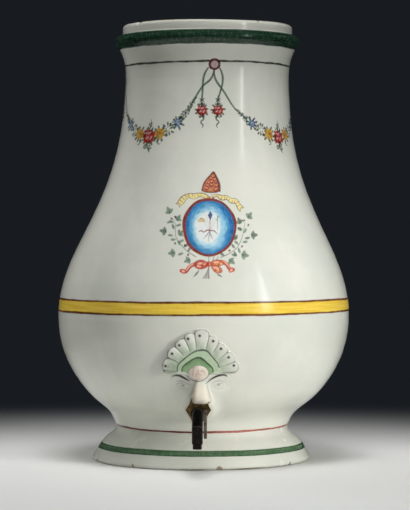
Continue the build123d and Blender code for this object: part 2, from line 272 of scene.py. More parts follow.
class Signal:
    """A node's output that takes part in sums."""

    def __init__(self, nodes, made, output=0):
        self.nodes, self.made, self.output = nodes, made, output

    def other(self, output):
        """Another output of the same node."""
        return Signal(self.nodes, self.made, output)

    def math(self, operation, *terms):
        return self.nodes.node("Math", {"operation": operation}, dict(enumerate(terms)))

    def __add__(self, other):
        return self.math("ADD", self, other)

    __radd__ = __add__

    def __sub__(self, other):
        return self.math("SUBTRACT", self, other)

    def __rsub__(self, other):
        return self.math("SUBTRACT", other, self)

    def __mul__(self, other):
        return self.math("MULTIPLY", self, other)

    __rmul__ = __mul__

    def root(self):
        return self.math("SQRT", self)

    def rising(self, low, high):
        """0 at low and beyond, 1 at high and beyond, and smooth between."""
        return self.nodes.node("MapRange", {"interpolation_type": "SMOOTHSTEP"},
                               {"Value": self, "From Min": low, "From Max": high}, "Result")


class Nodes:
    """The nodes of a material or of the world."""

    def __init__(self, owner, end):
        owner.use_nodes = True
        self.tree = owner.node_tree
        self.tree.nodes.clear()
        self.end = self.node(end)

    def node(self, kind, settings=None, sockets=None, output=0):
        """A node of a kind, with its settings and the values or links of its sockets."""
        made = self.tree.nodes.new("ShaderNode" + kind)
        for name, value in (settings or {}).items():
            setattr(made, name, value)
        for name, value in (sockets or {}).items():
            self.feed(made.inputs[name], value)
        return Signal(self, made, output)

    def feed(self, socket, value):
        """Gives a socket a value, a colour or a link."""
        if isinstance(value, Signal):
            self.tree.links.new(value.made.outputs[value.output], socket)
        elif isinstance(value, tuple) and socket.type == "RGBA":
            socket.default_value = (*value, 1.0)
        else:
            socket.default_value = value

    def show(self, surface):
        """Makes a shader the one that is seen."""
        self.feed(self.end.made.inputs["Surface"], surface)

    def place(self):
        """Where a point lies on the object."""
        return self.node("TexCoord", output="Object")

    def noise(self, scale, detail=2.0, roughness=0.5, distortion=0.0, stretch=None):
        """Soft unevenness from 0 to 1; scale is in waves to the metre."""
        where = self.place()
        if stretch:
            where = self.node("Mapping", None, {"Vector": where, "Scale": stretch})
        return self.node("TexNoise", None, {"Vector": where, "Scale": scale, "Detail": detail,
                                            "Roughness": roughness, "Distortion": distortion})

    def kept(self, name, output="Fac"):
        """A value that the mesh keeps for each of its points."""
        return self.node("Attribute", {"attribute_name": name}, output=output)

    def mix(self, share, first, second, blend_type="MIX"):
        """Two colours, mixed by a share of the second."""
        return self.node("Mix", {"data_type": "RGBA", "blend_type": blend_type},
                         {0: share, 6: first, 7: second}, 2)


class Finish(Nodes):
    """A material for one of the object's surfaces."""

    def __init__(self, name, **constants):
        self.material = bpy.data.materials.new(name)
        super().__init__(self.material, "OutputMaterial")
        self.surface = self.node("BsdfPrincipled")
        self.give(**constants)
        self.show(self.surface)

    def give(self, **values):
        """Feeds sockets of the surface, named with _ between their words."""
        for name, value in values.items():
            self.feed(self.surface.made.inputs[name.replace("_", " ")], value)

    def bump(self, height, distance):
        """Relief finer than the mesh; distance is its height in millimetres."""
        self.give(Normal=self.node("Bump", None, {"Height": height, "Distance": distance * MM}))


MILK = tone(231, 231, 219)
COOL_MILK = tone(221, 224, 212)
THICK_MILK = tone(236, 235, 225)
BISCUIT = tone(176, 160, 132)
DIRT = tone(104, 90, 70)
PINHOLE = tone(70, 62, 50)


def tin_glaze(name, painted=False, worn=False, roughness=0.17):
    """Tin glaze over earthenware, with what the mesh keeps of paint and wear on it."""
    f = Finish(name, Coat_Weight=0.1 if painted else 0.4, Coat_Roughness=0.06,
               Specular_IOR_Level=0.4 if painted else 0.45)
    colour = f.mix(f.noise(11, 3, 0.55).rising(0.35, 0.7), COOL_MILK, MILK)
    drift = f.noise(34, 3, 0.6, stretch=(1, 1, 0.6))
    colour = f.mix(drift.rising(0.45, 0.8) * 0.55, colour, THICK_MILK)
    cells = f.node("TexVoronoi", {"feature": "F1"}, {"Vector": f.place(), "Scale": 62.0},
                   "Distance")
    pick = f.node("SeparateColor", None, {"Color": cells.other("Color")})
    holes = (1 - cells.rising(0.012, 0.030)) * pick.rising(0.82, 0.86)
    colour = f.mix(holes * 0.55, colour, PINHOLE)
    if painted:
        colour = f.mix(f.kept("paint", "Alpha"), colour, (0.0, 0.0, 0.0))
        colour = f.mix(1.0, colour, f.kept("paint", "Color"), "ADD")
    rough = f.noise(45, 3, 0.6) * 0.12 + (roughness - 0.06)
    throwing = f.noise(1.0, 3, 0.55, 0.6, stretch=(7, 7, 150))
    relief = f.noise(260, 2, 0.5) * 0.35 + throwing * 0.65 - holes * 0.5
    if worn:
        edge = (f.kept("wear") + f.noise(160, 4, 0.65) * 0.5).rising(0.62, 0.86)
        clay = f.mix(f.noise(60, 4, 0.7).rising(0.35, 0.75), BISCUIT, DIRT)
        colour = f.mix(edge, colour, clay)
        rough = rough + edge * 0.5
        relief = relief - edge * 0.8
    f.give(Base_Color=colour, Roughness=rough)
    f.bump(relief, 0.10)
    return f.material


# ---------------------------------------------------------------- the thrown pot
COLUMNS = 360
around = np.linspace(0, 2 * pi, COLUMNS, endpoint=False)


def turned(profile):
    """Points of a (radius, height) profile turned about the pot's axis."""
    angle, radius = np.meshgrid(around, profile[:, 0])
    height = np.repeat(profile[:, 1:], COLUMNS, 1)
    return set_round(radius + ripple(angle, height) * held(radius / 60.0), angle, height)


collar_bore = COLLAR_RADIUS - WALL
rim_out = COLLAR_RADIUS - RIM_ROUNDING
rim_in = collar_bore + RIM_ROUNDING
rim_low = RIM_HEIGHT - RIM_ROUNDING
quarter = np.linspace(0, pi / 2, 7)
rim_line = np.concatenate([
    [(rim_out + RIM_ROUNDING * cos(t), rim_low + RIM_ROUNDING * sin(t)) for t in quarter],
    [(rim_in - RIM_ROUNDING * cos(t), rim_low + RIM_ROUNDING * sin(t)) for t in quarter[::-1]]])
inner_line = pot_line + WALL * beside(pot_line)
inner_line = inner_line[(inner_line[:, 1] > FLOOR_HEIGHT + WALL)
                        & (inner_line[:, 1] < NECK_HEIGHT)]
inside = smooth_line([(collar_bore, FLARE_HEIGHT), *inner_line[::-24],
                      (FLOOR_RADIUS, FLOOR_HEIGHT)], 90)
pot_profile = np.concatenate([
    [(20.0, WAIST_HEIGHT), (60.0, WAIST_HEIGHT), (86.0, WAIST_HEIGHT)],
    thinned(pot_line, 190), thinned(flare_line, 20)[1:], roll_line[1:],
    [(COLLAR_RADIUS, h) for h in np.linspace(COLLAR_HEIGHT + 1.2, rim_low - 0.8, 6)],
    rim_line,
    [(collar_bore, h) for h in np.linspace(rim_low - 1, FLARE_HEIGHT + 1, 8)],
    inside,
    [(r, FLOOR_HEIGHT) for r in (74.0, 66.0, 54.0, 40.0, 24.0, 10.0)]])
RIM_NICKS = [(-51.0, 3.8, 3.4), (38.0, 1.6, 0.6), (104.0, 4.0, 1.2), (171.0, 2.4, 1.4),
             (-122.0, 3.2, 0.9)]  # degrees, width, depth


def pot_mesh():
    """The pot as one thrown shell, with the nicks of its rim."""
    points = turned(pot_profile)
    height, angle = points[..., 2], np.broadcast_to(around, points.shape[:2])
    near_rim = held((height - (RIM_HEIGHT - 9)) / 9)
    points[..., 2] -= near_rim * (0.45 + 0.3 * np.sin(2 * angle + 1) + 0.15 * np.sin(5 * angle))
    wear = np.zeros(height.shape)
    for at, wide, deep in RIM_NICKS:
        nick = (held(1 - arc_from(angle, at, COLLAR_RADIUS) / wide) ** 0.7
                * held((height - (RIM_HEIGHT - 5)) / 5))
        points[..., 2] -= nick * deep
        wear = np.maximum(wear, nick)
    wear = np.maximum(wear, 0.55 * held((height - (RIM_HEIGHT - 4)) / 3.5)).ravel()
    rows = len(pot_profile)
    points = points.reshape(-1, 3)
    faces = grid_faces(rows, COLUMNS, closed=True).tolist()
    low_pole, high_pole = len(points), len(points) + 1
    points = np.concatenate([points, [(0, 0, WAIST_HEIGHT), (0, 0, FLOOR_HEIGHT)]])
    last = (rows - 1) * COLUMNS
    for c in range(COLUMNS):
        n = (c + 1) % COLUMNS
        faces += [(low_pole, n, c), (high_pole, last + c, last + n)]
    mesh = piece("pot", points, faces, tin_glaze("milk_glaze", worn=True),
                 ("pot_base", "pot_bowl", "pot_shoulder", "pot_neck", "pot_collar"))
    give_wear(mesh, np.concatenate([wear, [0, 0]]))


pot_mesh()

# ---------------------------------------------------------------- painting
STRING = tone(66, 94, 68)
LEAF = tone(42, 74, 54)
DARK_LEAF = tone(24, 42, 38)
GREY_LEAF = tone(96, 126, 100)
DEEP_GREY_LEAF = tone(62, 92, 70)
OLIVE_LEAF = tone(70, 92, 62)
THIN_GREEN = tone(32, 42, 28)
ROSE = tone(168, 40, 36)
DEEP_ROSE = tone(98, 18, 22)
PINK = tone(240, 204, 194)
OCHRE = tone(190, 142, 36)
PALE_OCHRE = tone(212, 172, 68)
RUST = tone(142, 68, 26)
CORNFLOWER = tone(88, 120, 152)
PALE_BLUE = tone(196, 212, 226)
DEEP_BLUE = tone(34, 50, 88)
BAND_YELLOW = tone(248, 214, 72)
BAND_OCHRE = tone(228, 184, 44)
BAND_BROWN = tone(98, 46, 14)
BAND_RED = tone(156, 80, 34)
LINE_RED = tone(172, 84, 66)
LINE_BROWN = tone(72, 26, 20)
FOOT_GREEN = tone(78, 116, 76)
FOOT_DARK_GREEN = tone(42, 78, 48)
ROLL_GREEN = tone(20, 56, 36)
ROLL_DARK_GREEN = tone(11, 34, 23)
WHITE = tone(236, 238, 232)
GRAIN_WAVES = 9
LEAST_COVER = 0.02  # paint that covers less than this share gets no skin


def covered(depth, soft):
    """How far paint covers a place, from its depth inside an edge and the edge's softness."""
    return held(depth / soft + 0.5)


def grain(u, v, size, seed):
    """Unevenness of a wash, from -1 to 1, with spots of about a size in millimetres."""
    pick = np.random.default_rng(seed)
    total = 0.0
    for _ in range(GRAIN_WAVES):
        turn, start, long = pick.uniform(0, pi), pick.uniform(0, 2 * pi), pick.uniform(0.7, 1.7)
        total = total + np.sin((u * cos(turn) + v * sin(turn)) * 2 * pi / (size * long) + start)
    return np.clip(total / sqrt(GRAIN_WAVES) / 1.3, -1, 1)


def away(points, u, v):
    """How far places lie from a line through points, and which share of it they lie by."""
    p = np.asarray(points, float)
    if len(p) == 1:
        return np.hypot(u - p[0, 0], v - p[0, 1]), np.zeros(np.shape(u))
    nearest, share = np.full(np.shape(u), 1e9), np.zeros(np.shape(u))
    for i, ((ax, ay), (bx, by)) in enumerate(zip(p, p[1:])):
        dx, dy = bx - ax, by - ay
        t = np.clip(((u - ax) * dx + (v - ay) * dy) / max(dx * dx + dy * dy, 1e-9), 0, 1)
        apart = np.hypot(u - ax - t * dx, v - ay - t * dy)
        closer = apart < nearest
        nearest = np.where(closer, apart, nearest)
        share = np.where(closer, (i + t) / (len(p) - 1), share)
    return nearest, share


def curved(points, count=5):
    """More points on a smooth line through points."""
    return smooth_line(points, count * len(points)) if len(points) > 2 else np.array(points)


class Paint:
    """Colour laid in strokes on a grid of a face's points.

    Strokes are drawn in millimetres across and up from the place that `at` names. On the
    pot the grid's columns are angles in degrees, elsewhere they are millimetres too.
    """

    def __init__(self, across, up, turns=True):
        self.across, self.up, self.turns = across, up, turns
        self.radius = radians(1) * radius_at(up) if turns else np.ones(len(up))
        self.colour = np.zeros((len(up), len(across), 3))
        self.cover = np.zeros((len(up), len(across)))
        self.middle = (0.0, 0.0)
        u = across[None, :] * self.radius[:, None]
        v = np.repeat(up[:, None], len(across), 1)
        self.brush = 1 - 0.10 * (1 + grain(u, v, 1.6, 3)) - 0.05 * (1 + grain(u, v, 5.0, 4))

    def at(self, across, up):
        """Names the place from which what follows is drawn."""
        self.middle = (across, up)

    def near(self, low, high):
        """The grid's points in a box, and their places in millimetres from the middle."""
        v = self.up - self.middle[1]
        rows = np.flatnonzero((v > low[1]) & (v < high[1]))
        u = self.across - self.middle[0]
        if self.turns:
            u = (u + 180) % 360 - 180
        if not len(rows):
            return (rows[:, None], rows[None, :]), np.zeros((0, 0)), np.zeros((0, 0))
        wide = u * self.radius[rows].mean()
        spare = 0.12 * (abs(low[0]) + abs(high[0]))
        columns = np.flatnonzero((wide > low[0] - spare) & (wide < high[0] + spare))
        u = u[columns][None, :] * self.radius[rows][:, None]
        return np.ix_(rows, columns), u, np.repeat(v[rows][:, None], len(columns), 1)

    def lay(self, where, cover, colour):
        """Lays a colour, as thick as cover says."""
        thick = held(cover * self.brush[where])
        self.colour[where] = (self.colour[where] * (1 - thick[..., None])
                              + np.asarray(colour) * thick[..., None])
        self.cover[where] = self.cover[where] * (1 - thick) + thick

    def wash(self, cover, colour):
        """Lays a colour over the whole grid."""
        self.lay(np.s_[:, :], cover, colour)

    def stroke(self, points, widths, colour, strength=0.95, soft=0.5, smooth=True):
        """A brush stroke through points; its widths go from its start to its end."""
        p = curved(points) if smooth else np.asarray(points, float)
        w = np.atleast_1d(widths).astype(float)
        reach = w.max() / 2 + soft
        where, u, v = self.near(p.min(0) - reach, p.max(0) + reach)
        apart, share = away(p, u, v)
        half = np.interp(share, np.linspace(0, 1, len(w)), w) / 2
        self.lay(where, covered(half - apart, soft) * strength, colour)

    def dot(self, u0, v0, wide, high, colour, strength=0.95, soft=0.5, turn=0.0):
        """An oval touch of the brush, with its half width, its half height and its turn."""
        reach = max(wide, high) + soft
        where, u, v = self.near((u0 - reach, v0 - reach), (u0 + reach, v0 + reach))
        u, v = u - u0, v - v0
        c, s = towards(turn)
        out = 1 - np.hypot((u * c + v * s) / wide, (v * c - u * s) / high)
        self.lay(where, covered(out * min(wide, high), soft) * strength, colour)

    def shape(self, outline, colour, strength=0.95, soft=0.5):
        """A filled outline."""
        p = np.asarray(outline, float)
        where, u, v = self.near(p.min(0) - soft, p.max(0) + soft)
        inside = np.zeros(u.shape, bool)
        for (ax, ay), (bx, by) in zip(p, np.roll(p, -1, 0)):
            if ay != by:
                crossing = (ay > v) != (by > v)
                inside ^= crossing & (u < (bx - ax) * (v - ay) / (by - ay) + ax)
        apart, _ = away([*p, p[0]], u, v)
        self.lay(where, covered(np.where(inside, apart, -apart), soft) * strength, colour)


def painted_skin(name, paint, places=None):
    """A thin skin on the pot's face that shows what was painted."""
    rows, columns = paint.cover.shape
    faces = grid_faces(rows, columns, closed=np.ptp(paint.across) > 359)
    cover = paint.cover.ravel()
    faces = faces[cover[faces].max(1) > LEAST_COVER]
    used = np.unique(faces)
    renumbered = np.full(rows * columns, -1)
    renumbered[used] = np.arange(len(used))
    if places is None:
        places = skin_places(*np.meshgrid(np.radians(paint.across), paint.up))
    mesh = piece(name, places.reshape(-1, 3)[used], renumbered[faces], painted_glaze)
    give_paint(mesh, paint.colour.reshape(-1, 3)[used], cover[used])


painted_glaze = tin_glaze("painted_glaze", painted=True)

# ---------------------------------------------------------------- belts of colour
BELT = (159.0, 170.9)  # the heights between which it is yellow
BELT_EDGES = [(158.8, 0.0), (171.2, 2.1)]  # the height of each line, the start of its waves
WAIST_LINE = 37.1
FOOT_BELT = (13.2, 18.8)


def ring_angles(count):
    return np.linspace(-180, 180, count, endpoint=False)


def lay_band(paint, low, high, colour, strength=1.1, soft=0.5):
    """Lays a band all round between two heights, which may change round the pot."""
    v = paint.up[:, None]
    paint.wash(covered(np.minimum(v - low, high - v), soft) * strength, colour)


def lay_line(paint, middle, half, colour, strength=1.1):
    """Lays a line all round, from its middle's height and half its width."""
    lay_band(paint, middle - half, middle + half, colour, strength)


def streaks(paint, low, high, colour, strength, seed):
    """Long streaks of a darker wash inside a band."""
    v = paint.up[:, None]
    u = np.radians(paint.across)[None, :] * 100
    wash = 0.5 + 0.5 * grain(u / 14, v, 2.4, seed) + 0.25 * grain(u / 4, v, 9.0, seed + 1)
    inner = held(np.minimum(v - low, high - v) / 0.5)
    paint.wash(held(wash) * inner * strength, colour)


def wave(paint, *parts):
    """A slow wave round the pot, from (height, turns, start) parts."""
    angle = np.radians(paint.across)[None, :]
    return sum(high * np.sin(turns * angle + start) for high, turns, start in parts)


def yellow_belt():
    """The yellow belt between its two thin edges."""
    paint = Paint(ring_angles(1080), np.arange(156.8, 173.4, 0.35))
    sway = wave(paint, (0.25, 2, 0.6), (0.12, 7, 1), (0.05, 23, 0))
    low, high = BELT[0] + sway, BELT[1] + sway
    lay_band(paint, low, high, BAND_YELLOW)
    streaks(paint, low + 0.3, high - 0.3, BAND_OCHRE, 0.7, 11)
    for middle, start in BELT_EDGES:
        half = 1.0 + wave(paint, (0.14, 5, start), (0.08, 31, start), (0.05, 67, start))
        line = middle + sway + wave(paint, (0.10, 11, start), (0.05, 43, start))
        lay_line(paint, line, half, BAND_BROWN, 1.15)
        warm = held(wave(paint, (1.0, 3, start * 2), (0.5, 8, start)))
        lay_line(paint, line, half * 0.5, BAND_RED, 0.7 * warm)
    painted_skin("yellow_belt", paint)


def waist_line():
    """The red line round the waist, with painted shade that browns it towards the left."""
    paint = Paint(ring_angles(900), np.arange(33.8, 40.6, 0.3))
    line = WAIST_LINE + wave(paint, (0.9, 2, -pi / 2), (0.22, 3, 1.2), (0.10, 11, 0),
                             (0.05, 37, 1))
    half = 1.1 + wave(paint, (0.14, 4, 0.5), (0.10, 17, 0))
    lay_line(paint, line, half, LINE_RED)
    # Painted shade: the line turns brown on the left, the side away from the lamps.
    dark = held(0.6 - wave(paint, (2.4, 1, -0.1)))
    lay_line(paint, line, half * 0.85, LINE_BROWN, 0.95 * dark)
    painted_skin("waist_line", paint)


def foot_belt():
    """The green belt of the foot, darker along its edges."""
    paint = Paint(ring_angles(900), np.arange(11.6, 20.4, 0.35))
    sway = wave(paint, (0.25, 2, 2), (0.08, 9, 0), (0.04, 41, 1))
    low, high = FOOT_BELT[0] + sway, FOOT_BELT[1] + sway
    lay_band(paint, low, high, FOOT_GREEN)
    streaks(paint, low + 0.2, high - 0.2, FOOT_DARK_GREEN, 0.6, 21)
    for edge in (low + 0.5, high - 0.6):
        lay_line(paint, edge, 0.45, FOOT_DARK_GREEN, 0.8)
    painted_skin("foot_belt", paint)


def roll_green():
    """The green of the roll moulding, painted along its own rounded outline."""
    line = thinned(np.concatenate([flare_line[-5:], roll_line[1:],
                                   [(COLLAR_RADIUS, COLLAR_HEIGHT + 1.4)]]), 44)
    paint = Paint(ring_angles(900), travelled(line))
    low = 4.2 + wave(paint, (0.4, 3, 1), (0.2, 14, 0), (0.1, 39, 0))
    high = paint.up[-1] - 1.7 + wave(paint, (0.25, 4, 0), (0.12, 19, 1))
    lay_band(paint, low, high, ROLL_GREEN, 1.2, 0.7)
    streaks(paint, low + 0.4, high - 0.2, ROLL_DARK_GREEN, 0.5, 31)
    lifted = line - LIFT * beside(line)
    angle, radius = np.meshgrid(np.radians(paint.across), lifted[:, 0])
    height = np.repeat(lifted[:, 1:], len(paint.across), 1)
    painted_skin("roll_green", paint,
                 places=set_round(radius + ripple(angle, height), angle, height))


yellow_belt()
waist_line()
foot_belt()
roll_green()

# ---------------------------------------------------------------- garlands
ROSETTE_ANGLES = [6.8, 106.0, 191.8, 277.6]  # degrees round the neck, from the front
ROSETTE_HEIGHT = 413.2
LINE_HEIGHT = 416.3
SWAG_DROP = [(0, 339.6), (0.18, 342.2), (0.33, 347), (0.47, 353.6), (0.55, 361), (0.64, 370.5),
             (0.74, 379.8), (0.84, 391.5), (1, 409)]  # share of half a swag, height
STEEP_DROP = [(0, 339.6), (0.18, 342.2), (0.33, 347), (0.46, 352.6), (0.58, 359.4),
              (0.70, 366.8)]  # the half that hangs to the right of a rosette


def around_dabs(paint, u, v, radius, count, wide, high, colours, pick, start=20.0):
    """Oval dabs that stand out all round a place."""
    for k in range(count):
        turn = start + k * 360 / count + pick.uniform(-10, 10)
        du, dv = towards(turn, radius * pick.uniform(0.88, 1.12))
        paint.dot(u + du, v + dv, wide * pick.uniform(0.8, 1.15), high,
                  colours[k % len(colours)], soft=0.4, turn=turn)


def specks(paint, u, v, count, reach, wide, high, colours, pick, strength=0.95):
    """Small touches of the brush, strewn over a place as far as reach (across, up)."""
    for _ in range(count):
        du, dv = pick.uniform(-1, 1, 2) * reach
        colour = colours[pick.integers(len(colours))] if len(colours) > 1 else colours[0]
        paint.dot(u + du, v + dv, wide, high, colour, strength, turn=pick.uniform(0, 180))


def rose(paint, u, v, size, pick):
    """A red rose of a few turned strokes."""
    paint.dot(u, v, size * 0.46, size * 0.43, ROSE, 1.05)
    around_dabs(paint, u, v, size * 0.38, 7, size * 0.17, size * 0.13, (ROSE, DEEP_ROSE), pick)
    for points, wide in (([(-.42, -.12), (-.05, -.34), (.34, -.16)], 1.4),
                         ([(-.30, .22), (0, .04), (.32, .18)], 1.2),
                         ([(-.36, .02), (-.28, -.24), (-.06, -.40)], 1.0)):
        paint.stroke([(u + a * size, v + b * size) for a, b in points], [0.3, wide, 0.3],
                     DEEP_ROSE, 0.85)
    for a, b, turn, long in ((.05, .24, 28, .17), (-.12, -.08, 30, .15), (.20, -.10, 64, .15),
                             (-.22, .24, 10, .10)):
        middle, step = np.array([u + a * size, v + b * size]), towards(turn, size * long)
        paint.stroke([middle - step, middle, middle + step], [0.3, 1.15, 0.3], PINK, 0.9)


def cornflower(paint, u, v, size, pick):
    """A blue flower of small petals round a dark heart."""
    paint.dot(u, v, size * 0.34, size * 0.31, CORNFLOWER, 0.85)
    around_dabs(paint, u, v, size * 0.33, 8, size * 0.13, size * 0.10,
                (CORNFLOWER, DEEP_BLUE, CORNFLOWER), pick)
    specks(paint, u, v, 7, (0.3 * size, 0.28 * size), 0.75, 0.5, (DEEP_BLUE,), pick)
    for _ in range(3):
        du, dv = pick.uniform(-0.2, 0.2, 2) * size
        paint.dot(u + du, v + dv, 0.7, 0.5, PALE_BLUE, 0.8)


def marigold(paint, u, v, size, pick, side):
    """A yellow flower shaded with rust on one side."""
    paint.dot(u, v, size * 0.43, size * 0.38, OCHRE, 1.05)
    around_dabs(paint, u, v, size * 0.36, 8, size * 0.15, size * 0.11, (PALE_OCHRE, OCHRE), pick)
    paint.dot(u - 0.22 * size * side, v - 0.08 * size, size * 0.15, size * 0.22, RUST, 0.55)
    paint.dot(u + 0.05 * size, v, size * 0.11, size * 0.10, RUST, 0.85)
    for a, b in ((-.1, -.3), (.2, -.26), (-.3, .14), (.12, .26), (.3, .05), (-.05, .12)):
        paint.dot(u + a * size, v + b * size, 1.2, 0.6, (RUST, OLIVE_LEAF)[pick.integers(2)], 0.6,
                  turn=pick.uniform(0, 180))


def leaf_star(paint, u, v, size, pick, count=8, start=20.0):
    """Leaves that stand out all round."""
    around_dabs(paint, u, v, size * 0.38, count, size * 0.15, size * 0.055 + 0.3,
                (LEAF, DARK_LEAF), pick, start)


def curl(paint, u, v, side, size=1.0):
    """A curled tendril that hangs from a flower."""
    paint.stroke([(u + a * side * size, v + b * size)
                  for a, b in ((0, 0), (-2.0, -3.0), (-0.6, -5.4), (1.6, -4.6))],
                 [1.0, 1.5, 1.2, 0.4], LEAF)


def touches(paint, u, v, places, wide, high, colours):
    """Leaf dabs at places (across, up, turn); those on the right take the second colour."""
    for du, dv, turn in places:
        paint.dot(u + du, v + dv, wide, high, colours[du > 0], turn=turn)


def drop(paint, u, v, pick, flip=1):
    """A hanging rose with a crown of leaves above and a tendril below."""
    paint.stroke([(u, v + 15), (u - 0.2, v + 10), (u, v + 5)], 1.2, STRING)
    touches(paint, u, v, ((-1.5, 11.8, 160), (1.5, 11.8, 20), (-1.2, 9.8, 35), (1.2, 9.8, 145)),
            1.35, 0.75, (LEAF, LEAF))
    paint.dot(u, v + 10.8, 1.2, 1.2, LEAF)
    touches(paint, u, v, ((-2.4, 6.2, 118), (2.4, 6.2, 62), (-0.9, 6.9, 100), (1.0, 6.9, 80)),
            1.6, 0.75, (LEAF, DARK_LEAF))
    leaf_star(paint, u, v, 15.0, pick, count=9, start=10)
    rose(paint, u, v, 11.0, pick)
    paint.stroke([(u + a * flip + b, v + c)
                  for a, b, c in ((0, -0.2, -5.5), (1.8, 0, -8.8), (-1.0, 0, -12.2),
                                  (1.2, 0, -14.8), (0.4, 0, -18))],
                 [1.3, 1.7, 1.4, 1.6, 0.5], LEAF)
    for side in (-1, 1):
        paint.stroke([(u, v - 5.8), (u + 1.8 * side, v - 7.2), (u + 3.4 * side, v - 6.4)],
                     [1.1, 1.3, 0.4], LEAF)


def rosette(paint, angle, pick):
    """A red rosette with the four strings and two drops that hang from it."""
    paint.at(angle, ROSETTE_HEIGHT)
    strings = [[(-6.4, -3.6), (-9.6, -8.6), (-11.4, -15), (-12.1, -25), (-12.6, -35)],
               [(-0.4, -6), (-1.4, -10.2), (-5.0, -16.6), (-10.2, -20.8), (-14.9, -26.6),
                (-19.0, -33.0), (-22.6, -38.8)],
               [(-0.4, -6), (-0.2, -10.6), (1.6, -16.4), (7.1, -24.2), (12.5, -31.8),
                (18.6, -41.2), (22.9, -46.4)],
               [(5.6, -4.0), (8.4, -11.5), (8.4, -20), (6.4, -27.6), (4.4, -35)]]
    for line in strings:
        paint.stroke(line, [1.6, 2.2, 2.1, 1.9, 1.5], STRING, 1.0)
        paint.stroke([(u + 0.5, v) for u, v in line], [0.4, 0.9, 0.4, 0.8, 0.5], LEAF, 0.6)
    drop(paint, -12.7, -47.6, pick)
    drop(paint, 4.0, -47.5, pick, -1)
    paint.dot(0, 0, 6.3, 6.1, tone(96, 32, 34), 1.1)
    around_dabs(paint, 0, 0, 5.3, 7, 1.0, 0.7, (LINE_BROWN, DEEP_ROSE), pick)
    paint.dot(0, 0, 5.0, 4.8, tone(76, 34, 34), 0.6)
    paint.dot(0.1, -0.1, 3.9, 3.7, tone(198, 176, 170), 1.1)
    specks(paint, 0, 0, 6, (2.2, 2.0), 1.1, 0.6, (tone(216, 200, 194), tone(150, 118, 112)),
           pick, 0.55)


def chain(paint, place, side, far, near, pick):
    """A chain of leaf dabs that widens from a string's end down to the blue flower."""
    for t in np.arange(far, near, -0.0135):
        grown = (far - t) / (far - near)
        paint.at(*place(side * t))
        reach = 0.5 + 3.1 * grown ** 0.8
        specks(paint, 0, 0, 2 + (grown > 0.25), (reach, reach * 0.8), 1.15 + 0.5 * grown,
               0.62 + 0.2 * grown, (LEAF, DARK_LEAF, OLIVE_LEAF), pick, 0.9)
        if grown < 0.6:
            paint.dot(0, 0, 1.4, 0.55, STRING, 0.9, turn=48 if side > 0 else 132)


def swag(paint, low_angle, high_angle, seed):
    """Flowers and leaves that hang in a curve between two rosettes."""
    pick = np.random.default_rng(seed)
    middle, half = (low_angle + high_angle) / 2, (high_angle - low_angle) / 2

    def place(t):
        shares, heights = np.array(SWAG_DROP if t > 0 else STEEP_DROP).T
        return middle + half * t, float(np.interp(abs(t), shares, heights))

    chain(paint, place, 1, 0.73, 0.50, pick)
    chain(paint, place, -1, 0.70, 0.50, pick)
    for side in (-1, 1):
        paint.at(*place(side * 0.465))
        leaf_star(paint, 0, 0, 14.5, pick, count=8)
        cornflower(paint, 0, 0, 11.0, pick)
        paint.at(*place(side * 0.395))
        leaf_star(paint, 0, 0.6, 8.5, pick, count=5)
        paint.at(*place(side * 0.32))
        leaf_star(paint, 0, 0, 14.0, pick, count=9)
        around_dabs(paint, 0, 0, 2.3, 5, 1.0, 0.6, (OLIVE_LEAF, LEAF), pick)
        paint.at(*place(side * 0.19))
        leaf_star(paint, 0, -0.3, 18.0, pick, count=9)
        curl(paint, 0.5 * side, -5.6, side)
        marigold(paint, 0, 0, 13.0, pick, side)
    paint.at(*place(0.0))
    leaf_star(paint, 0, -0.5, 19.0, pick, count=11, start=0)
    paint.stroke([(0.2, 6), (0.4, 10), (1.0, 14.5), (0.6, 18)], [1.5, 1.2, 1.3, 0.3], LEAF)
    for du, dv, turn in ((-1.6, 9.5, 130), (1.9, 10.5, 50), (-1.0, 12.6, 120), (1.9, 13.2, 60),
                         (-3.6, 8.0, 115), (3.8, 8.2, 62)):
        paint.dot(du, dv, 1.7, 0.8, (LEAF, DARK_LEAF)[dv > 10], turn=turn)
    rose(paint, 0, 0, 15.5, pick)
    paint.stroke([(0, -6.5), (-0.8, -9.0), (1.0, -12.0), (4.0, -16.6)], [1.4, 2.2, 2.8, 0.5],
                 OLIVE_LEAF)
    touches(paint, 0, 0, ((-2.6, -9.4, 20), (2.6, -9.6, 150), (-2.8, -11.6, 200),
                          (3.8, -12.2, 10)), 2.0, 0.95, (OLIVE_LEAF, LEAF))
    curl(paint, -3.6, -8.0, 1, 0.8)


def garlands():
    """The line round the neck with its rosettes, strings and swags."""
    paint = Paint(ring_angles(1560), np.arange(314.0, 420.5, 0.4))
    line = LINE_HEIGHT + wave(paint, (0.3, 3, 0.4), (0.15, 13, 1), (0.08, 37, 0))
    lay_line(paint, line, 1.0 + wave(paint, (0.12, 7, 1), (0.14, 29, 2)), THIN_GREEN)
    for k, angle in enumerate(ROSETTE_ANGLES):
        after = ROSETTE_ANGLES[(k + 1) % len(ROSETTE_ANGLES)]
        swag(paint, angle, after + (360 if after < angle else 0), 50 + k)
    for k, angle in enumerate(ROSETTE_ANGLES):
        rosette(paint, angle, np.random.default_rng(80 + k))
    painted_skin("garlands", paint)


garlands()

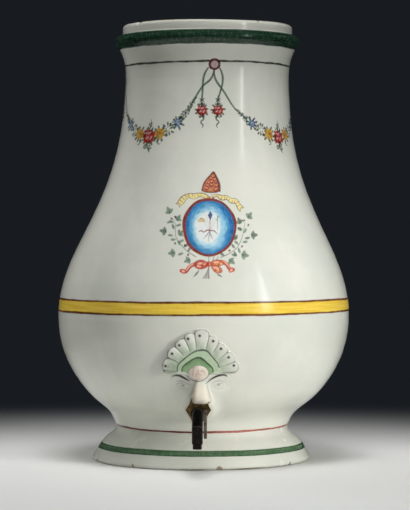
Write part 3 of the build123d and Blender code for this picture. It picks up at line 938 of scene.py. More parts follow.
# ---------------------------------------------------------------- medallion
MEDALLION = (4.2, 246.5)  # degrees and height of its middle
RING_RED = tone(142, 62, 50)
RING_BROWN = tone(108, 42, 36)
OVAL_DARK_BLUE = tone(16, 58, 124)
OVAL_DEEP_BLUE = tone(20, 94, 156)
OVAL_BLUE = tone(58, 142, 196)
OVAL_PALE_BLUE = tone(166, 214, 228)
CONE_BROWN = tone(92, 40, 30)
CONE_RUST = tone(184, 92, 66)
CONE_SALMON = tone(240, 164, 124)
RIBBON_YELLOW = tone(240, 228, 156)
RIBBON_OCHRE = tone(206, 170, 72)
RIBBON_BROWN = tone(112, 78, 46)
BOW_CRIMSON = tone(150, 40, 36)
BOW_RED = tone(200, 76, 54)
BOW_ORANGE = tone(224, 128, 72)
BOW_PALE = tone(242, 206, 178)
BERRY = tone(84, 30, 36)
STEM_GREY = tone(120, 112, 104)
OVAL = (0.0, 0.0, 26.3, 28.2)  # middle, half width and half height
PALED = (-0.8, -1.0, 18.4, 22.6)
WHITENED = (-1.9, -0.4, 12.6, 16.6)


def oval(paint):
    """The blue oval that pales towards its middle, in its red ring."""
    where, u, v = paint.near((-32, -34), (32, 34))
    turn = np.arctan2(v, u)
    out = oval_share(u, v, *OVAL)
    edge = (1 - out) * 27 + 0.35 * np.sin(3 * turn + 1) + 0.2 * np.sin(7 * turn)
    inside = covered(edge, 0.6)

    def washed(turns, rings, size, seed):
        return grain(turn * turns, out * rings, size, seed)

    paint.lay(where, inside * 1.15, OVAL_DEEP_BLUE)
    streak = 0.05 * washed(9, 27, 3.4, 5) + 0.07 * washed(4, 8, 4.0, 6)
    halo = oval_share(u, v, *PALED) + streak
    white = oval_share(u, v, *WHITENED) + streak
    for field, inner, outer, colour in ((halo, 0.98, 1.42, OVAL_BLUE),
                                        (halo, 0.76, 1.14, OVAL_PALE_BLUE),
                                        (white, 0.88, 1.18, WHITE)):
        paint.lay(where, eased((outer - field) / (outer - inner)) * inside * 1.1, colour)
    dark = held(washed(7, 20, 3.4, 8)) * held((out - 0.72) / 0.12)
    paint.lay(where, dark * inside * 0.35, OVAL_DARK_BLUE)
    # Painted glints: lighter blue streaks near the oval's edge.
    painted_glints = held(washed(8, 24, 3.0, 18) - 0.2) * held((out - 0.7) / 0.1)
    paint.lay(where, painted_glints * inside * 0.4, OVAL_BLUE)
    half = 1.25 - 0.22 * np.cos(turn) + 0.25 * np.cos(turn) ** 2 + 0.12 * np.sin(5 * turn)
    ring = half - np.abs(edge - 0.1)
    paint.lay(where, covered(ring, 0.5) * 1.15, RING_RED)
    dark = held(washed(20, 4, 5.0, 7) + 0.3)
    paint.lay(where, held((ring - 0.3) / 0.5) * dark * 0.8, RING_BROWN)
    glow = held((0.3 - np.abs(edge - 1.0)) / 0.4) * held(washed(20, 0, 4, 9))
    paint.lay(where, glow * 0.35, CONE_SALMON)


def posy(paint):
    """A small tied posy in the oval's white middle."""
    pale_red = tone(206, 160, 150)
    for line in ([(0.2, -3.4), (0.4, 2), (0.5, 8)], [(0.0, -3.4), (-3.2, 1.6), (-6.6, 5.6)],
                 [(0.4, -3.4), (3.4, 1.0), (6.0, 9.0)], [(0.2, -3.4), (-1.6, 4.4), (-3.4, 11.0)],
                 [(0.4, -3.4), (2.4, 4.6), (3.0, 10.0)]):
        paint.stroke(line, [0.5, 0.6, 0.4], pale_red, 0.55)
    paint.stroke([(0.2, -3.4), (0.4, 2.4), (0.5, 8.4)], [0.5, 0.6, 1.3], tone(92, 60, 80), 0.7)
    paint.shape([(0.6, 16.0), (3.0, 12.4), (0.8, 6.6), (-1.8, 11.6)], tone(34, 66, 118), 1.1)
    paint.stroke([(-0.6, 13.2), (0.2, 14.2), (0.8, 12.4)], [0.3, 0.8, 0.2], OVAL_BLUE, 0.7)
    for k, (u, v) in enumerate(((-10.6, 6.0), (-8.9, 7.9), (-6.8, 7.6), (-5.6, 6.0), (-8.1, 5.8))):
        paint.dot(u, v, 1.5, 1.1, (PALE_OCHRE, RIBBON_OCHRE)[k % 2], 0.8)
    paint.stroke([(-10.8, 6.4), (-8.6, 8.9), (-5.4, 7.4)], [0.3, 0.7, 0.3], RIBBON_BROWN, 0.7)
    paint.stroke([(8.0, -2.4), (8.1, 4.0), (7.8, 11.6)], [0.6, 0.9, 0.6],
                 tone(150, 146, 142), 0.85)
    paint.dot(7.4, 7.2, 1.3, 0.6, GREY_LEAF, 0.7, turn=120)
    paint.dot(8.6, 10.0, 1.3, 0.6, GREY_LEAF, 0.7, turn=62)
    paint.stroke([(-11.0, -5.0), (-8.0, -3.9), (-6.2, -5.2), (-2.6, -3.2), (0.3, -3.6),
                  (3.6, -3.7), (6.0, -5.2), (7.9, -7.0)], [0.6, 1.3, 0.9, 1.3, 1.5, 1.2, 1.0, 0.5],
                 tone(136, 62, 50), 0.95)
    for u, v, wide in ((-6.0, -11.8, 0.8), (-3.4, -9.6, 0.7), (-1.5, -14.8, 0.9),
                       (1.4, -11.0, 0.6), (3.2, -12.2, 0.8), (-0.2, -9.4, 0.6)):
        paint.stroke([(0.0, -4.0), (u * 0.5, (v - 4) / 2), (u, v)], [0.5, wide, 0.5], STEM_GREY,
                     0.7)


def cone(paint):
    """A pine cone on a short stem."""
    paint.stroke([(2.3, 35.5), (2.0, 33), (1.8, 30)], [2.2, 1.8, 2.6], tone(214, 206, 186), 0.9)
    outline = curved([(-7.6, 37.4), (-6.6, 42), (-2.6, 49.0), (1.6, 53.4), (3.9, 55.6), (5.8, 53),
                      (8.4, 47.6), (10.3, 40.0), (10.2, 36.6)], 4)
    paint.shape([*outline, (7.0, 35.2), (1.6, 34.9), (-4.6, 35.4)], CONE_RUST, 1.1)
    pick = np.random.default_rng(5)
    for height, left, right, count in ((38.2, -5.6, 8.8, 3), (41.6, -4.6, 8.6, 3),
                                       (45.0, -2.8, 7.6, 3), (48.4, -0.8, 7.0, 2),
                                       (51.4, 1.4, 6.2, 1)):
        for k in range(count):
            u = left + (right - left) * (k + 0.5) / count + pick.uniform(-0.8, 0.8)
            v = height + pick.uniform(-0.7, 0.7)
            w = (right - left) / count * 0.46
            tilt = pick.uniform(-0.9, 0.9)
            paint.stroke([(u - w, v + 0.6 + tilt), (u, v - 0.9), (u + w, v + 0.8 - tilt)],
                         [0.4, 1.5, 0.5], CONE_BROWN, 0.8)
            paint.stroke([(u - w * 0.8, v + 1.7 + tilt), (u, v + 0.5),
                          (u + w * 0.7, v + 1.9 - tilt)], [0.4, 1.5, 0.4], CONE_SALMON, 0.9)
    paint.dot(0.8, 37.4, 2.6, 1.3, tone(206, 158, 96), 0.7)
    paint.stroke(outline, [1.5, 1.3, 1.6, 2.0, 2.4, 2.4], CONE_BROWN, 1.0, smooth=False)
    paint.stroke([(-7.6, 36.8), (-4, 35.4), (2, 35.0), (7.4, 35.3), (10.2, 36.8)], 1.3,
                 CONE_BROWN)


def ribbon(paint, spine, wide, seed):
    """A flat ribbon that ripples, without any lettering."""
    pick = np.random.default_rng(seed)

    def line(points, wide, colour, strength):
        paint.stroke(points, wide, colour, strength, smooth=False)

    spine = curved(spine, 6)
    share = np.linspace(0, 1, len(spine))
    half = np.interp(share, np.linspace(0, 1, len(wide)), wide) / 2
    half = half + 0.35 * np.sin(share * 19 + seed)
    side = beside(spine) * half[:, None]
    upper, lower = spine + side, spine - side
    end = spine[0] + (spine[4] - spine[0]) * 0.5
    paint.shape(np.concatenate([upper, lower[::-1], [end]]), RIBBON_YELLOW, 1.05)
    for at in np.arange(0.08, 0.95, 0.085):
        k = int(at * (len(spine) - 1))
        mid = spine[k] + (pick.uniform(-0.5, 0.5), pick.uniform(-0.5, 0.5))
        skew = (pick.uniform(-1.0, 1.0), 0)
        high, low = upper[k] * 0.8 + lower[k] * 0.2, lower[k] * 0.8 + upper[k] * 0.2
        paint.stroke([high, mid, low + skew], [0.5, pick.uniform(1.2, 2.2), 0.5], RIBBON_OCHRE,
                     pick.uniform(0.5, 0.9))
        if pick.random() < 0.75:
            line([upper[k], mid + (0.5, 0)], [0.9, 0.3], RIBBON_BROWN, 0.7)
        if pick.random() < 0.5:
            line([lower[k] + (0.8, 0), mid + (0.9, 0.2)], [0.8, 0.2], RIBBON_BROWN, 0.6)
    line(upper, [0.8, 1.0, 0.7, 1.1, 0.8], RIBBON_BROWN, 0.9)
    line(lower, [0.6, 0.8, 0.5, 0.9, 0.6], RIBBON_BROWN, 0.8)
    line([upper[0], end, lower[0]], 0.8, RIBBON_BROWN, 0.7)


def lobed_leaf(paint, u, v, turn, size, colour):
    """An ivy leaf with soft lobes, from its stalk."""
    lobes = ((-150, .42), (-105, .60), (-72, .92), (-48, .58), (-28, .70), (0, 1.12), (28, .70),
             (48, .58), (72, .92), (105, .60), (150, .42))
    middle = np.array([u, v]) + towards(turn, size * 0.42)
    line = [middle + towards(turn + a, size * 0.5 * r) for a, r in lobes]
    paint.shape(curved([*line, line[0]], 2), colour, 0.92, soft=0.7)
    for bend in (-46, 0, 46):
        vein = towards(turn + bend, size * 0.42)
        paint.stroke([middle - vein * 0.3, middle + vein * 0.9], [0.8, 0.3], DEEP_GREY_LEAF, 0.65,
                     smooth=False)


def sprays(paint):
    """Two leafy sprays with berries, one on each side of the oval."""
    sides = (
        ([(-14.1, -29.7), (-23.2, -23.6), (-28.6, -18.3), (-33.9, -10.7), (-34.7, -2.3),
          (-34.7, 3.0), (-39.6, 9.6)],
         [(-39.0, 11.2, 118, 8.6), (-41.6, -5.0, 172, 8.4), (-32.4, -25.6, 186, 8.4),
          (-34.6, 4.4, 58, 7.6), (-32.2, -10.2, 52, 7.0), (-17.6, -31.2, 205, 7.6)],
         [(-36.4, 3.8, 150), (-36.0, -2.4, 112), (-34.2, 0.8, 20), (-37.2, -8.8, 172),
          (-34.2, -12.6, 182), (-31.0, -15.6, 30), (-30.0, -18.4, 112), (-26.6, -26.0, 200),
          (-26.0, -20.2, 35), (-22.0, -25.0, 60), (-38.4, 6.0, 200)],
         [(-35.1, 10.3), (-38.9, 8.4), (-30.9, -3.8), (-35.1, -16.4), (-25.1, -18.3),
          (-21.7, -27.8)]),
        ([(11.0, -30.5), (19.4, -26.7), (28.6, -19.8), (33.1, -10.7), (35.4, -2.3), (36.6, 4.6)],
         [(38.2, 6.8, 52, 8.4), (40.4, -8.4, 2, 8.4), (29.6, -27.4, -8, 9.0),
          (32.6, 1.0, 112, 7.6), (17.6, -31.0, -38, 8.0), (29.4, -13.2, 140, 6.6)],
         [(33.4, -4.0, 150), (35.2, -6.4, 60), (36.2, -11.6, 8), (33.6, -15.4, 8),
          (29.4, -17.6, 140), (25.6, -21.6, 128), (29.0, -21.0, -70), (33.8, -2.6, 160),
          (21.8, -27.2, -18), (15.0, -28.8, 150), (24.4, -24.4, -60)],
         [(35.8, 6.5), (40.4, 1.9), (33.1, -19.4), (20.0, -23.6)]))
    pick = np.random.default_rng(12)
    for stem, lobed, small, berries in sides:
        paint.stroke(stem, [1.0, 0.8, 0.8, 0.6, 0.5], DEEP_GREY_LEAF, 0.8)
        for u, v, turn, size in lobed:
            lobed_leaf(paint, u, v, turn, size * 1.25,
                       GREY_LEAF if pick.random() < 0.6 else OLIVE_LEAF)
        for u, v, turn in small:
            stalk, leaf = towards(turn, 1.6), towards(turn, 3.0)
            shade = GREY_LEAF if pick.random() < 0.7 else DEEP_GREY_LEAF
            paint.stroke([(u, v), stalk + (u, v)], 0.5, DEEP_GREY_LEAF, 0.7, smooth=False)
            paint.dot(u + leaf[0], v + leaf[1], pick.uniform(2.3, 2.8), 1.3, shade, 0.9,
                      soft=0.6, turn=turn)
        for u, v in berries:
            paint.stroke([(u * 0.97, v - 1.6), (u, v)], 0.5, DEEP_GREY_LEAF, 0.7, smooth=False)
            paint.dot(u, v, 1.2, 0.95, BERRY, turn=pick.uniform(0, 90))


def bow(paint):
    """The bow of ribbon that ties the sprays and their stems."""
    for u in (-5.0, -3.2, -1.6, 0.2, 1.0):
        paint.stroke([(-0.9 + u * 0.1, -40), (-1.4 + u * 0.35, -45), (-1.8 + u, -51)],
                     [0.5, 0.8, 1.2], STEM_GREY, 0.75)
    for line in ([(-1.2, -28.6), (-1.0, -34)], [(4.4, -29.4), (3.0, -34)],
                 [(8.6, -29.6), (6, -34)]):
        paint.stroke(line, 0.9, STEM_GREY, 0.7, smooth=False)
    paint.stroke([(-11.0, -43.4), (-13.4, -46.6), (-16.4, -49.8)], [0.8, 1.9, 0.5], DEEP_GREY_LEAF)
    paint.stroke([(7.0, -46.4), (9.6, -48.2), (12.4, -49.8)], [0.6, 1.8, 0.4], DEEP_GREY_LEAF)
    tails = ([(-4, -37.0), (-10, -37.0), (-16.4, -37.6), (-21.0, -40.6), (-24.0, -44.2),
              (-28.6, -43.6)],
             [(2, -37), (8, -34.8), (13.6, -35.2), (17.6, -38.2), (20.4, -42.0), (23.6, -42.6)])
    for line in tails:
        paint.stroke(line, [2.0, 3.4, 3.6, 3.8, 3.8, 3.6], BOW_RED, 1.05)
        for aside, lift, wide, colour, strength in (
                (0, 0.7, [0.5, 1.4, 0.7, 1.8, 0.8, 1.4], BOW_PALE, 0.75),
                (0.3, -1.4, [0.5, 0.9, 0.6, 1.0, 0.6], BOW_CRIMSON, 0.8)):
            paint.stroke([(u + aside, v + lift) for u, v in line], wide, colour, strength)
    for u, v, turn in ((-26.6, -44.2, -24), (21.6, -43.0, 30)):
        paint.dot(u, v, 3.2, 2.3, BOW_RED, turn=turn)
        paint.dot(u, v, 1.7, 1.1, BOW_PALE, 0.9, turn=turn)
    loops = (([(-2, -36), (-6.4, -33.4), (-12.4, -33.8), (-15.8, -37.0), (-12.6, -41.4),
               (-6.8, -41.6), (-2.4, -39.0)], BOW_RED),
             ([(0, -36), (4.4, -33.4), (10.6, -33.6), (14.6, -36.4), (9.6, -38.8), (3.4, -38.6)],
              BOW_ORANGE),
             ([(1, -38.4), (5.6, -38.6), (10.8, -40.8), (12.0, -44.6), (8.4, -46.0), (3.4, -43.0)],
              BOW_ORANGE))
    for line, colour in loops:
        outline = curved([*line, line[0]], 3)
        paint.shape(outline, colour, 1.05)
        paint.stroke(outline, [0.9, 1.3, 0.8, 1.2], BOW_CRIMSON, 0.7, smooth=False)
    for u, v, wide, high, turn in ((-9.6, -36.4, 3.4, 1.1, 10), (-11.0, -39.2, 2.4, 0.9, -14),
                                   (-5.2, -37.2, 1.7, 0.7, 30), (6.2, -35.4, 3.2, 1.0, 6),
                                   (10.8, -36.6, 1.9, 0.8, -20), (7.6, -41.6, 2.8, 1.2, -40),
                                   (4.6, -40.4, 1.4, 0.7, -10)):
        paint.dot(u, v, wide, high, BOW_PALE, 0.85, turn=turn)
    for u, v, turn, long in ((-13.4, -36.8, 70, 2.6), (-7.4, -39.6, 40, 2.2),
                             (-7.8, -35.0, 110, 1.8), (3.0, -36.2, -40, 2.0),
                             (9.0, -37.4, 60, 2.2), (9.8, -43.6, -70, 2.2),
                             (5.4, -43.4, 20, 1.8), (-3.6, -38.4, 20, 1.8)):
        across, up = towards(turn, long)
        paint.stroke([(u - across, v - up), (u + 0.3, v), (u + across, v + up)], [0.4, 1.3, 0.4],
                     BOW_CRIMSON, 0.8)
    paint.dot(-1.0, -37.0, 2.6, 2.8, BOW_RED, 1.1)
    paint.stroke([(-2.2, -35.4), (-1.6, -37), (-2, -38.8)], [0.4, 1.2, 0.4], BOW_CRIMSON, 0.9)
    paint.stroke([(0.2, -35.4), (-0.1, -37.2), (0.4, -38.8)], [0.3, 0.8, 0.3], BOW_PALE, 0.7)


def medallion():
    """Cone, ribbons, oval, leaf sprays and bow on the front of the belly."""
    middle, height = MEDALLION
    paint = Paint(middle + np.linspace(-31, 31, 340), np.arange(height - 56, height + 59, 0.36))
    paint.at(middle, height)
    sprays(paint)
    ribbon(paint, [(-32.6, 21.6), (-29.4, 25.0), (-25.6, 29.4), (-20.4, 31.6), (-15.6, 31.0),
                   (-10.8, 32.4), (-5.6, 31.6), (0.4, 28.6)], (5.4, 5.4, 4.6, 4.8, 3.8, 2.0), 4)
    ribbon(paint, [(33.6, 17.6), (30.6, 21.0), (26.6, 26.2), (22.0, 26.8), (18.0, 29.6),
                   (12.4, 29.6), (8.0, 31.8), (3.4, 30.6)], (4.8, 4.8, 4.2, 4.4, 3.4, 2.0), 7)
    oval(paint)
    paint.dot(1.8, 29.4, 3.0, 1.6, RING_RED, 1.0)
    paint.dot(0.6, 30.0, 1.0, 0.8, RIBBON_OCHRE, 0.8)
    posy(paint)
    cone(paint)
    bow(paint)
    painted_skin("medallion", paint)


medallion()

# ---------------------------------------------------------------- foot
FOOT_CHIPS = [(11.0, 4.0, 0.9), (-36.0, 2.2, 0.7), (55.0, 2.0, 0.6), (-70.0, 4.0, 1.0),
              (97.0, 6.0, 1.8), (140.0, 3.4, 1.2), (-125.0, 5.2, 1.5),
              (-160.0, 2.8, 1.0)]  # degrees, width, depth
INNER_ROWS = 11  # rows of the profile that the hollow under the foot takes


def foot_mesh():
    """The pedestal foot, worn where it stands."""
    sole = FOOT_RADIUS - FOOT_EDGE_TUCK
    edge = [(sole + FOOT_EDGE_TUCK * sin(t), FOOT_EDGE_HEIGHT * (1 - cos(t)))
            for t in np.linspace(0, pi / 2, 8)[:-1]]
    top, bottom = WAIST_RADIUS - FOOT_WALL, sole - FOOT_RING_WIDTH
    profile = np.concatenate([
        [(sole - FOOT_RING_WIDTH * s, 0.0) for s in (1.0, 0.66, 0.33)],
        edge, thinned(foot_line, 34),
        [(WAIST_RADIUS - FOOT_WALL * s, WAIST_HEIGHT) for s in (0.5, 1.0)],
        [(top + (bottom - top) * s, WAIST_HEIGHT * (1 - s))
         for s in np.linspace(0.12, 0.92, INNER_ROWS - 2)]])
    points = turned(profile)
    angle = np.broadcast_to(around, points.shape[:2])
    radius, height = (np.repeat(column[:, None], COLUMNS, 1) for column in profile.T)
    outer = radius > 100
    wear = (held(1 - height / 3.2) * outer
            * (0.62 + 0.2 * np.sin(3 * angle + 0.6) + 0.15 * np.sin(13 * angle + 2)))
    for at, wide, deep in FOOT_CHIPS:
        chip = (held(1.3 - arc_from(angle, at, FOOT_RADIUS) / wide)
                * held(1.25 - height / 5.5) * outer)
        shrink = 1 - chip * deep / FOOT_RADIUS
        points[..., 0] = lean(height) + (points[..., 0] - lean(height)) * shrink
        points[..., 1] *= shrink
        wear = np.maximum(wear, chip * 1.1)
    wear[-INNER_ROWS:] = np.maximum(wear[-INNER_ROWS:], 0.75)
    mesh = piece("foot_ring", points.reshape(-1, 3),
                 grid_faces(len(profile), COLUMNS, closed=True, wrapped=True),
                 tin_glaze("foot_milk_glaze", worn=True, roughness=0.26), ("foot",))
    give_wear(mesh, wear)


foot_mesh()

# ---------------------------------------------------------------- relief mask
TAP_HEIGHT = 65.3
CREST_HEIGHT = 101.5  # the middle of the feather fan
CREST_ASIDE = 0.6  # the mask was set a little to the right of the tap
MOUTH_FRONT = 152.14  # distances in front of the pot's axis
MOUTH_RADIUS = 11.6
MOUTH_ROOT_RADIUS = 13.8
HOLE_RADIUS = 6.6
NUT_POCKET_RADIUS = 13.2
NUT_POCKET_FRONT = 160.64
NOSE_FRONT = 165.5
NOSE_LOW = 71.4
NOSE_HIGH = 97.5
NOSE_SHAPE = [(71.4, 10.0, 0.88, 1.9), (73.4, 10.3, 0.95, 1.9), (76.0, 10.0, 0.98, 1.9),
              (79.0, 9.1, 0.95, 1.9), (82.0, 8.1, 0.84, 2.0), (85.0, 7.2, 0.68, 2.1),
              (88.0, 6.3, 0.49, 2.3), (91.0, 5.5, 0.30, 2.5), (94.0, 4.9, 0.14, 2.6),
              (97.5, 4.2, 0.03, 2.7)]  # height, half width, share of its reach, middle
RIM = 0.7  # how far the fan's rim stands outside its drawn outline
FEATHERS = [(11.2, 39.4), (27.6, 38.4), (46.8, 37.4), (66.0, 39.6), (86.0, 44.2),
            (104.4, 41.2), (122.6, 38.8), (142.6, 38.0), (166.5, 37.8)]  # degrees, reach
NOTCHES = [(1.0, 36.0), (17.4, 36.6), (36.3, 34.8), (57.0, 35.6), (74.8, 38.2), (96.8, 39.2),
           (112.8, 37.6), (132.2, 35.0), (154.4, 33.6), (177.0, 35.0)]
SPOTS = [(34.3, 7.4), (29.2, 15.7), (21.7, 24.4), (14.0, 32.1), (0.7, 37.4), (-10.8, 34.4),
         (-19.6, 27.8), (-26.9, 19.3), (-33.7, 6.7)]
OUTER_ARC = [(-21.9, 1.6), (-21.6, 6.4), (-15.8, 13.3), (-8.9, 18.8), (-2.1, 22.3), (2.7, 23.1),
             (7.4, 22.3), (11.6, 18.0), (15.9, 12.8), (18.9, 8.1), (19.8, 5.4)]
INNER_ARC = [(-17.3, 0.6), (-17.3, 4.3), (-13.2, 9.0), (-8.0, 12.8), (-2.9, 15.2), (0.9, 15.4),
             (3.9, 13.7), (7.4, 10.5), (11.6, 6.4), (13.4, 3.8), (13.6, 1.0)]
ROSETTE = (-1.3, -0.1, 10.0, 7.5)
HEADBAND = [(-13.2, -3.0), (-9.8, -6.4), (-5.5, -8.1), (-1.2, -8.6), (3.9, -7.3), (8.2, -3.9),
            (10.8, -0.4)]
LEFT_BROW = [(-27.0, -4.1), (-23.9, -3.2), (-20.0, -3.4), (-15.8, -5.4), (-10.0, -8.4)]
RIGHT_BROW = [(6.5, -10.9), (10.8, -7.3), (15.9, -4.3), (21.1, -2.7), (24.5, -2.6), (27.4, -4.0)]
RELIEF_STEP = 0.45
PAINT_STEP = 0.3
BURIED = 1.5  # how far the mask's back lies under the pot's face
FACE = (0.0, -14.0, 31.0, 25.5)  # middle, half width and half height
EYES = (-17.4, 19.0)
CHEEKS = (-14.5, 16.0)
FIRST_NOTCH, LAST_NOTCH = NOTCHES[0], NOTCHES[-1]


def feather_depths(u, v):
    """How far inside the fan's edge a place lies, and how near to a groove between feathers."""
    turn = np.degrees(np.arctan2(v, u)) % 360
    turn = np.where(turn > 270, turn - 360, turn)
    out = np.hypot(u, v)
    edge = np.full(u.shape, -9.0)
    groove = np.full(u.shape, 99.0)
    for (tip, reach), (low, low_reach), (high, high_reach) in zip(FEATHERS, NOTCHES, NOTCHES[1:]):
        side = np.where(turn < tip, low, high)
        side_reach = np.where(turn < tip, low_reach, high_reach)
        share = held((turn - tip) / (side - tip))
        limit = side_reach + (reach - side_reach) * dome(share)
        here = (turn >= low) & (turn < high)
        edge = np.where(here, limit + RIM - out, edge)
        to_side = out * np.sin(np.radians(np.clip(np.abs(turn - side), 0, 90)))
        groove = np.where(here, to_side, groove)
    low_edge = (v + 3.2 - 0.0016 * u * u) * 0.9
    below = (turn < FIRST_NOTCH[0]) | (turn > LAST_NOTCH[0])
    edge = np.where(below, FIRST_NOTCH[1] + RIM - out, edge)
    return np.minimum(edge, low_edge), groove


def arc_depth(points, u, v):
    """How far a place lies inside an arc, towards the fan's middle."""
    line = curved(points, 4)
    apart, _ = away(line, u, v)
    turn = np.degrees(np.arctan2(v + 6, u))
    reach = np.hypot(line[:, 0], line[:, 1] + 6)
    angle = np.degrees(np.arctan2(line[:, 1] + 6, line[:, 0]))
    order = np.argsort(angle)
    limit = np.interp(turn, angle[order], reach[order])
    return np.where(np.hypot(u, v + 6) < limit, apart, -apart)


def crest_height(u, v):
    """Height of the feather fan, its green crown and the rosette above the pot's face."""
    edge, groove = feather_depths(u, v)
    out = np.hypot(u, v)
    ridge = eased((out - 22) / 6)
    crown = 4.8 + 1.2 * eased((out - 20) / 14) - 0.8 * ridge * np.exp(-(groove / 0.75) ** 2)
    crown -= 0.35 * np.cos(held(groove / 6) * pi) * ridge
    outer, inner = arc_depth(OUTER_ARC, u, v), arc_depth(INNER_ARC, u, v)
    crown += 0.35 * eased(outer / 1.5 + 0.5) - 0.35 * eased(inner / 1.5 + 0.5)
    crest = np.where(edge > -0.6,
                     crown * dome(1 - held(edge / 2.2)) - 1.6 * held(-edge / 0.6), -1.6)
    low = v + 3.2
    crest = np.where(low < 3, crest * eased(low / 3 + 0.4), crest)
    q = oval_share(u, v, *ROSETTE)
    curls = grain(u, v, 3.4, 17) * np.clip(1 - q, 0, 0.3) / 0.3
    return np.where(q < 1, np.maximum(crest, 4.2 + 3.6 * dome(q) + 0.28 * curls), crest)


def face_height(u, v):
    """Height of the face, its brows, lids and cheeks above the pot's face."""
    q = oval_share(u, v, *FACE)
    face = (5.0 * held(1 - q * q) ** 1.8 - 0.3 * eased((q - 0.93) / 0.12)
            - 2.2 * eased((q - 1.08) / 0.2))
    for brow in (LEFT_BROW, RIGHT_BROW):
        apart, _ = away(curved([(a, b + 0.6) for a, b in brow]), u, v)
        face = face + 1.1 * np.exp(-(apart / 3.0) ** 2) * (q < 1.02)
    for eye in EYES:
        socket = oval_share(u, v, eye, -12.4, 8.5, 5.2)
        lid = oval_share(u, v, eye, -12.8, 6.4, 3.6)
        face = face - 0.7 * np.exp(-socket ** 4) + 0.7 * dome(lid)
    for cheek in CHEEKS:
        face = face + np.exp(-oval_share(u, v, cheek, -23.0, 10.5, 8.5) ** 2)
    return face


def joined(first, second, soft):
    """Two depths joined with a soft fillet; inside is below zero."""
    share = held(0.5 + 0.5 * (second - first) / soft)
    return second * (1 - share) + first * share - soft * share * (1 - share)


def zero_surface(field, start, step):
    """Points and faces of the surface on which a grid of depths is zero."""
    shape = np.array(field.shape)
    corners, places = [], []
    for axis in range(3):
        low, high = [slice(None)] * 3, [slice(None)] * 3
        low[axis], high[axis] = slice(0, -1), slice(1, None)
        first, last = field[tuple(low)], field[tuple(high)]
        at = np.argwhere((first < 0) != (last < 0))
        at = at[np.all((at > 0) & (at < shape - 2), 1)]
        near, far = first[tuple(at.T)], last[tuple(at.T)]
        place = at.astype(float)
        place[:, axis] += near / (near - far)
        b, c = (axis + 1) % 3, (axis + 2) % 3
        cells = []
        for back_b, back_c in ((0, 0), (1, 0), (1, 1), (0, 1)):
            cell = at.copy()
            cell[:, b] -= back_b
            cell[:, c] -= back_c
            cells.append(np.ravel_multi_index(cell.T, shape))
        cells = np.stack(cells, 1)
        cells[near >= 0] = cells[near >= 0][:, ::-1]
        corners.append(cells)
        places.append(np.repeat(place, 4, 0))
    corners, places = np.concatenate(corners), np.concatenate(places)
    _, number = np.unique(corners, return_inverse=True)
    number = number.ravel()
    total = np.bincount(number)
    points = np.stack([np.bincount(number, places[:, k]) / total for k in range(3)], 1)
    return points * step + start, number.reshape(-1, 4)


def pot_front(x, height):
    """How far in front of the axis the pot's face lies, and the cosine of its slant there."""
    aside = x - lean(height)
    out = radius_at(height)
    out = out + ripple(np.arcsin(np.clip(aside / out, -0.99, 0.99)), height)
    slope = (radius_at(height + 1) - radius_at(height - 1)) / 2
    front = np.sqrt(out ** 2 - aside ** 2)
    return front, front / out / np.sqrt(1 + slope ** 2)


def feather_paint(p, u, v, pick):
    """The fan: pale feathers with green roots, grey outlines and a dark spot in each, with painted
    shade on its left side.
    """
    out, turn = np.hypot(u, v), np.degrees(np.arctan2(v, u))
    edge, _ = feather_depths(u, v)
    fan = covered(edge, 0.6) * held(-arc_depth(OUTER_ARC, u, v) / 0.6)
    p.wash(held((35 - out) / 11) * fan * (0.62 + 0.25 * grain(u, v, 5, 3)), tone(182, 206, 172))
    # Painted shade: the left feathers get a darker grey-green wash, on the side away from the
    # lamps.
    left = held((turn - 146) / 14) * fan * held((36 - out) / 4)
    p.wash(left * 0.55 * (0.8 + 0.3 * grain(u, v, 4, 8)), tone(116, 134, 102))
    for (tip, reach), low_notch, high_notch, spot in zip(FEATHERS, NOTCHES, NOTCHES[1:], SPOTS):
        for bend in (-5.5, -2.6, 0.2, 3.0, 5.6):
            long = pick.uniform(28.0, 33.5)
            angle = tip + bend * 0.9
            p.stroke([towards(angle, r) for r in (21.5, long - 4, long)], [0.7, 0.6, 0.2],
                     tone(140, 160, 128), pick.uniform(0.3, 0.6))
        # Painted shade: the outlines of the left feathers are drawn darker and stronger than those
        # on the right.
        grey_with_painted_shade = tone(74, 80, 68) if tip > 115 else tone(120, 120, 112)
        strength = 0.85 if tip > 80 else 0.7
        low, low_reach = low_notch
        line = []
        for share in np.linspace(-1, 1, 13):
            side, side_reach = low_notch if share < 0 else high_notch
            limit = side_reach + (reach - side_reach) * sqrt(1 - share ** 2)
            line.append(towards(tip + (side - tip) * abs(share), limit - 0.3))
        p.stroke(line, [1.0, 1.1, 0.9, 1.1, 0.9, 1.2], grey_with_painted_shade, strength, smooth=False)
        p.stroke([towards(low, 22.5 if 30 < low < 150 else 20.0),
                  towards(low - 0.5, low_reach - 7), towards(low, low_reach)],
                 [0.5, 0.8, 1.1], grey_with_painted_shade, strength * 0.9)
        p.dot(*spot, 1.9, 1.8, tone(128, 146, 150), 0.4)
        p.dot(*spot, 1.2, 1.25, tone(22, 26, 32), 1.1)
    # Painted shade: the line under the fan's left end is darker than the one under its right end.
    p.stroke([towards(*LAST_NOTCH), (-34.0, 0.6), (-29.0, 0.2), (-22.5, 0.8)],
             [1.0, 0.9, 0.7, 0.4], tone(84, 90, 76), 0.75)
    p.stroke([towards(*FIRST_NOTCH), (32.0, -0.6), (27.0, -0.2)], [0.7, 0.7, 0.3],
             tone(150, 152, 142), 0.5)


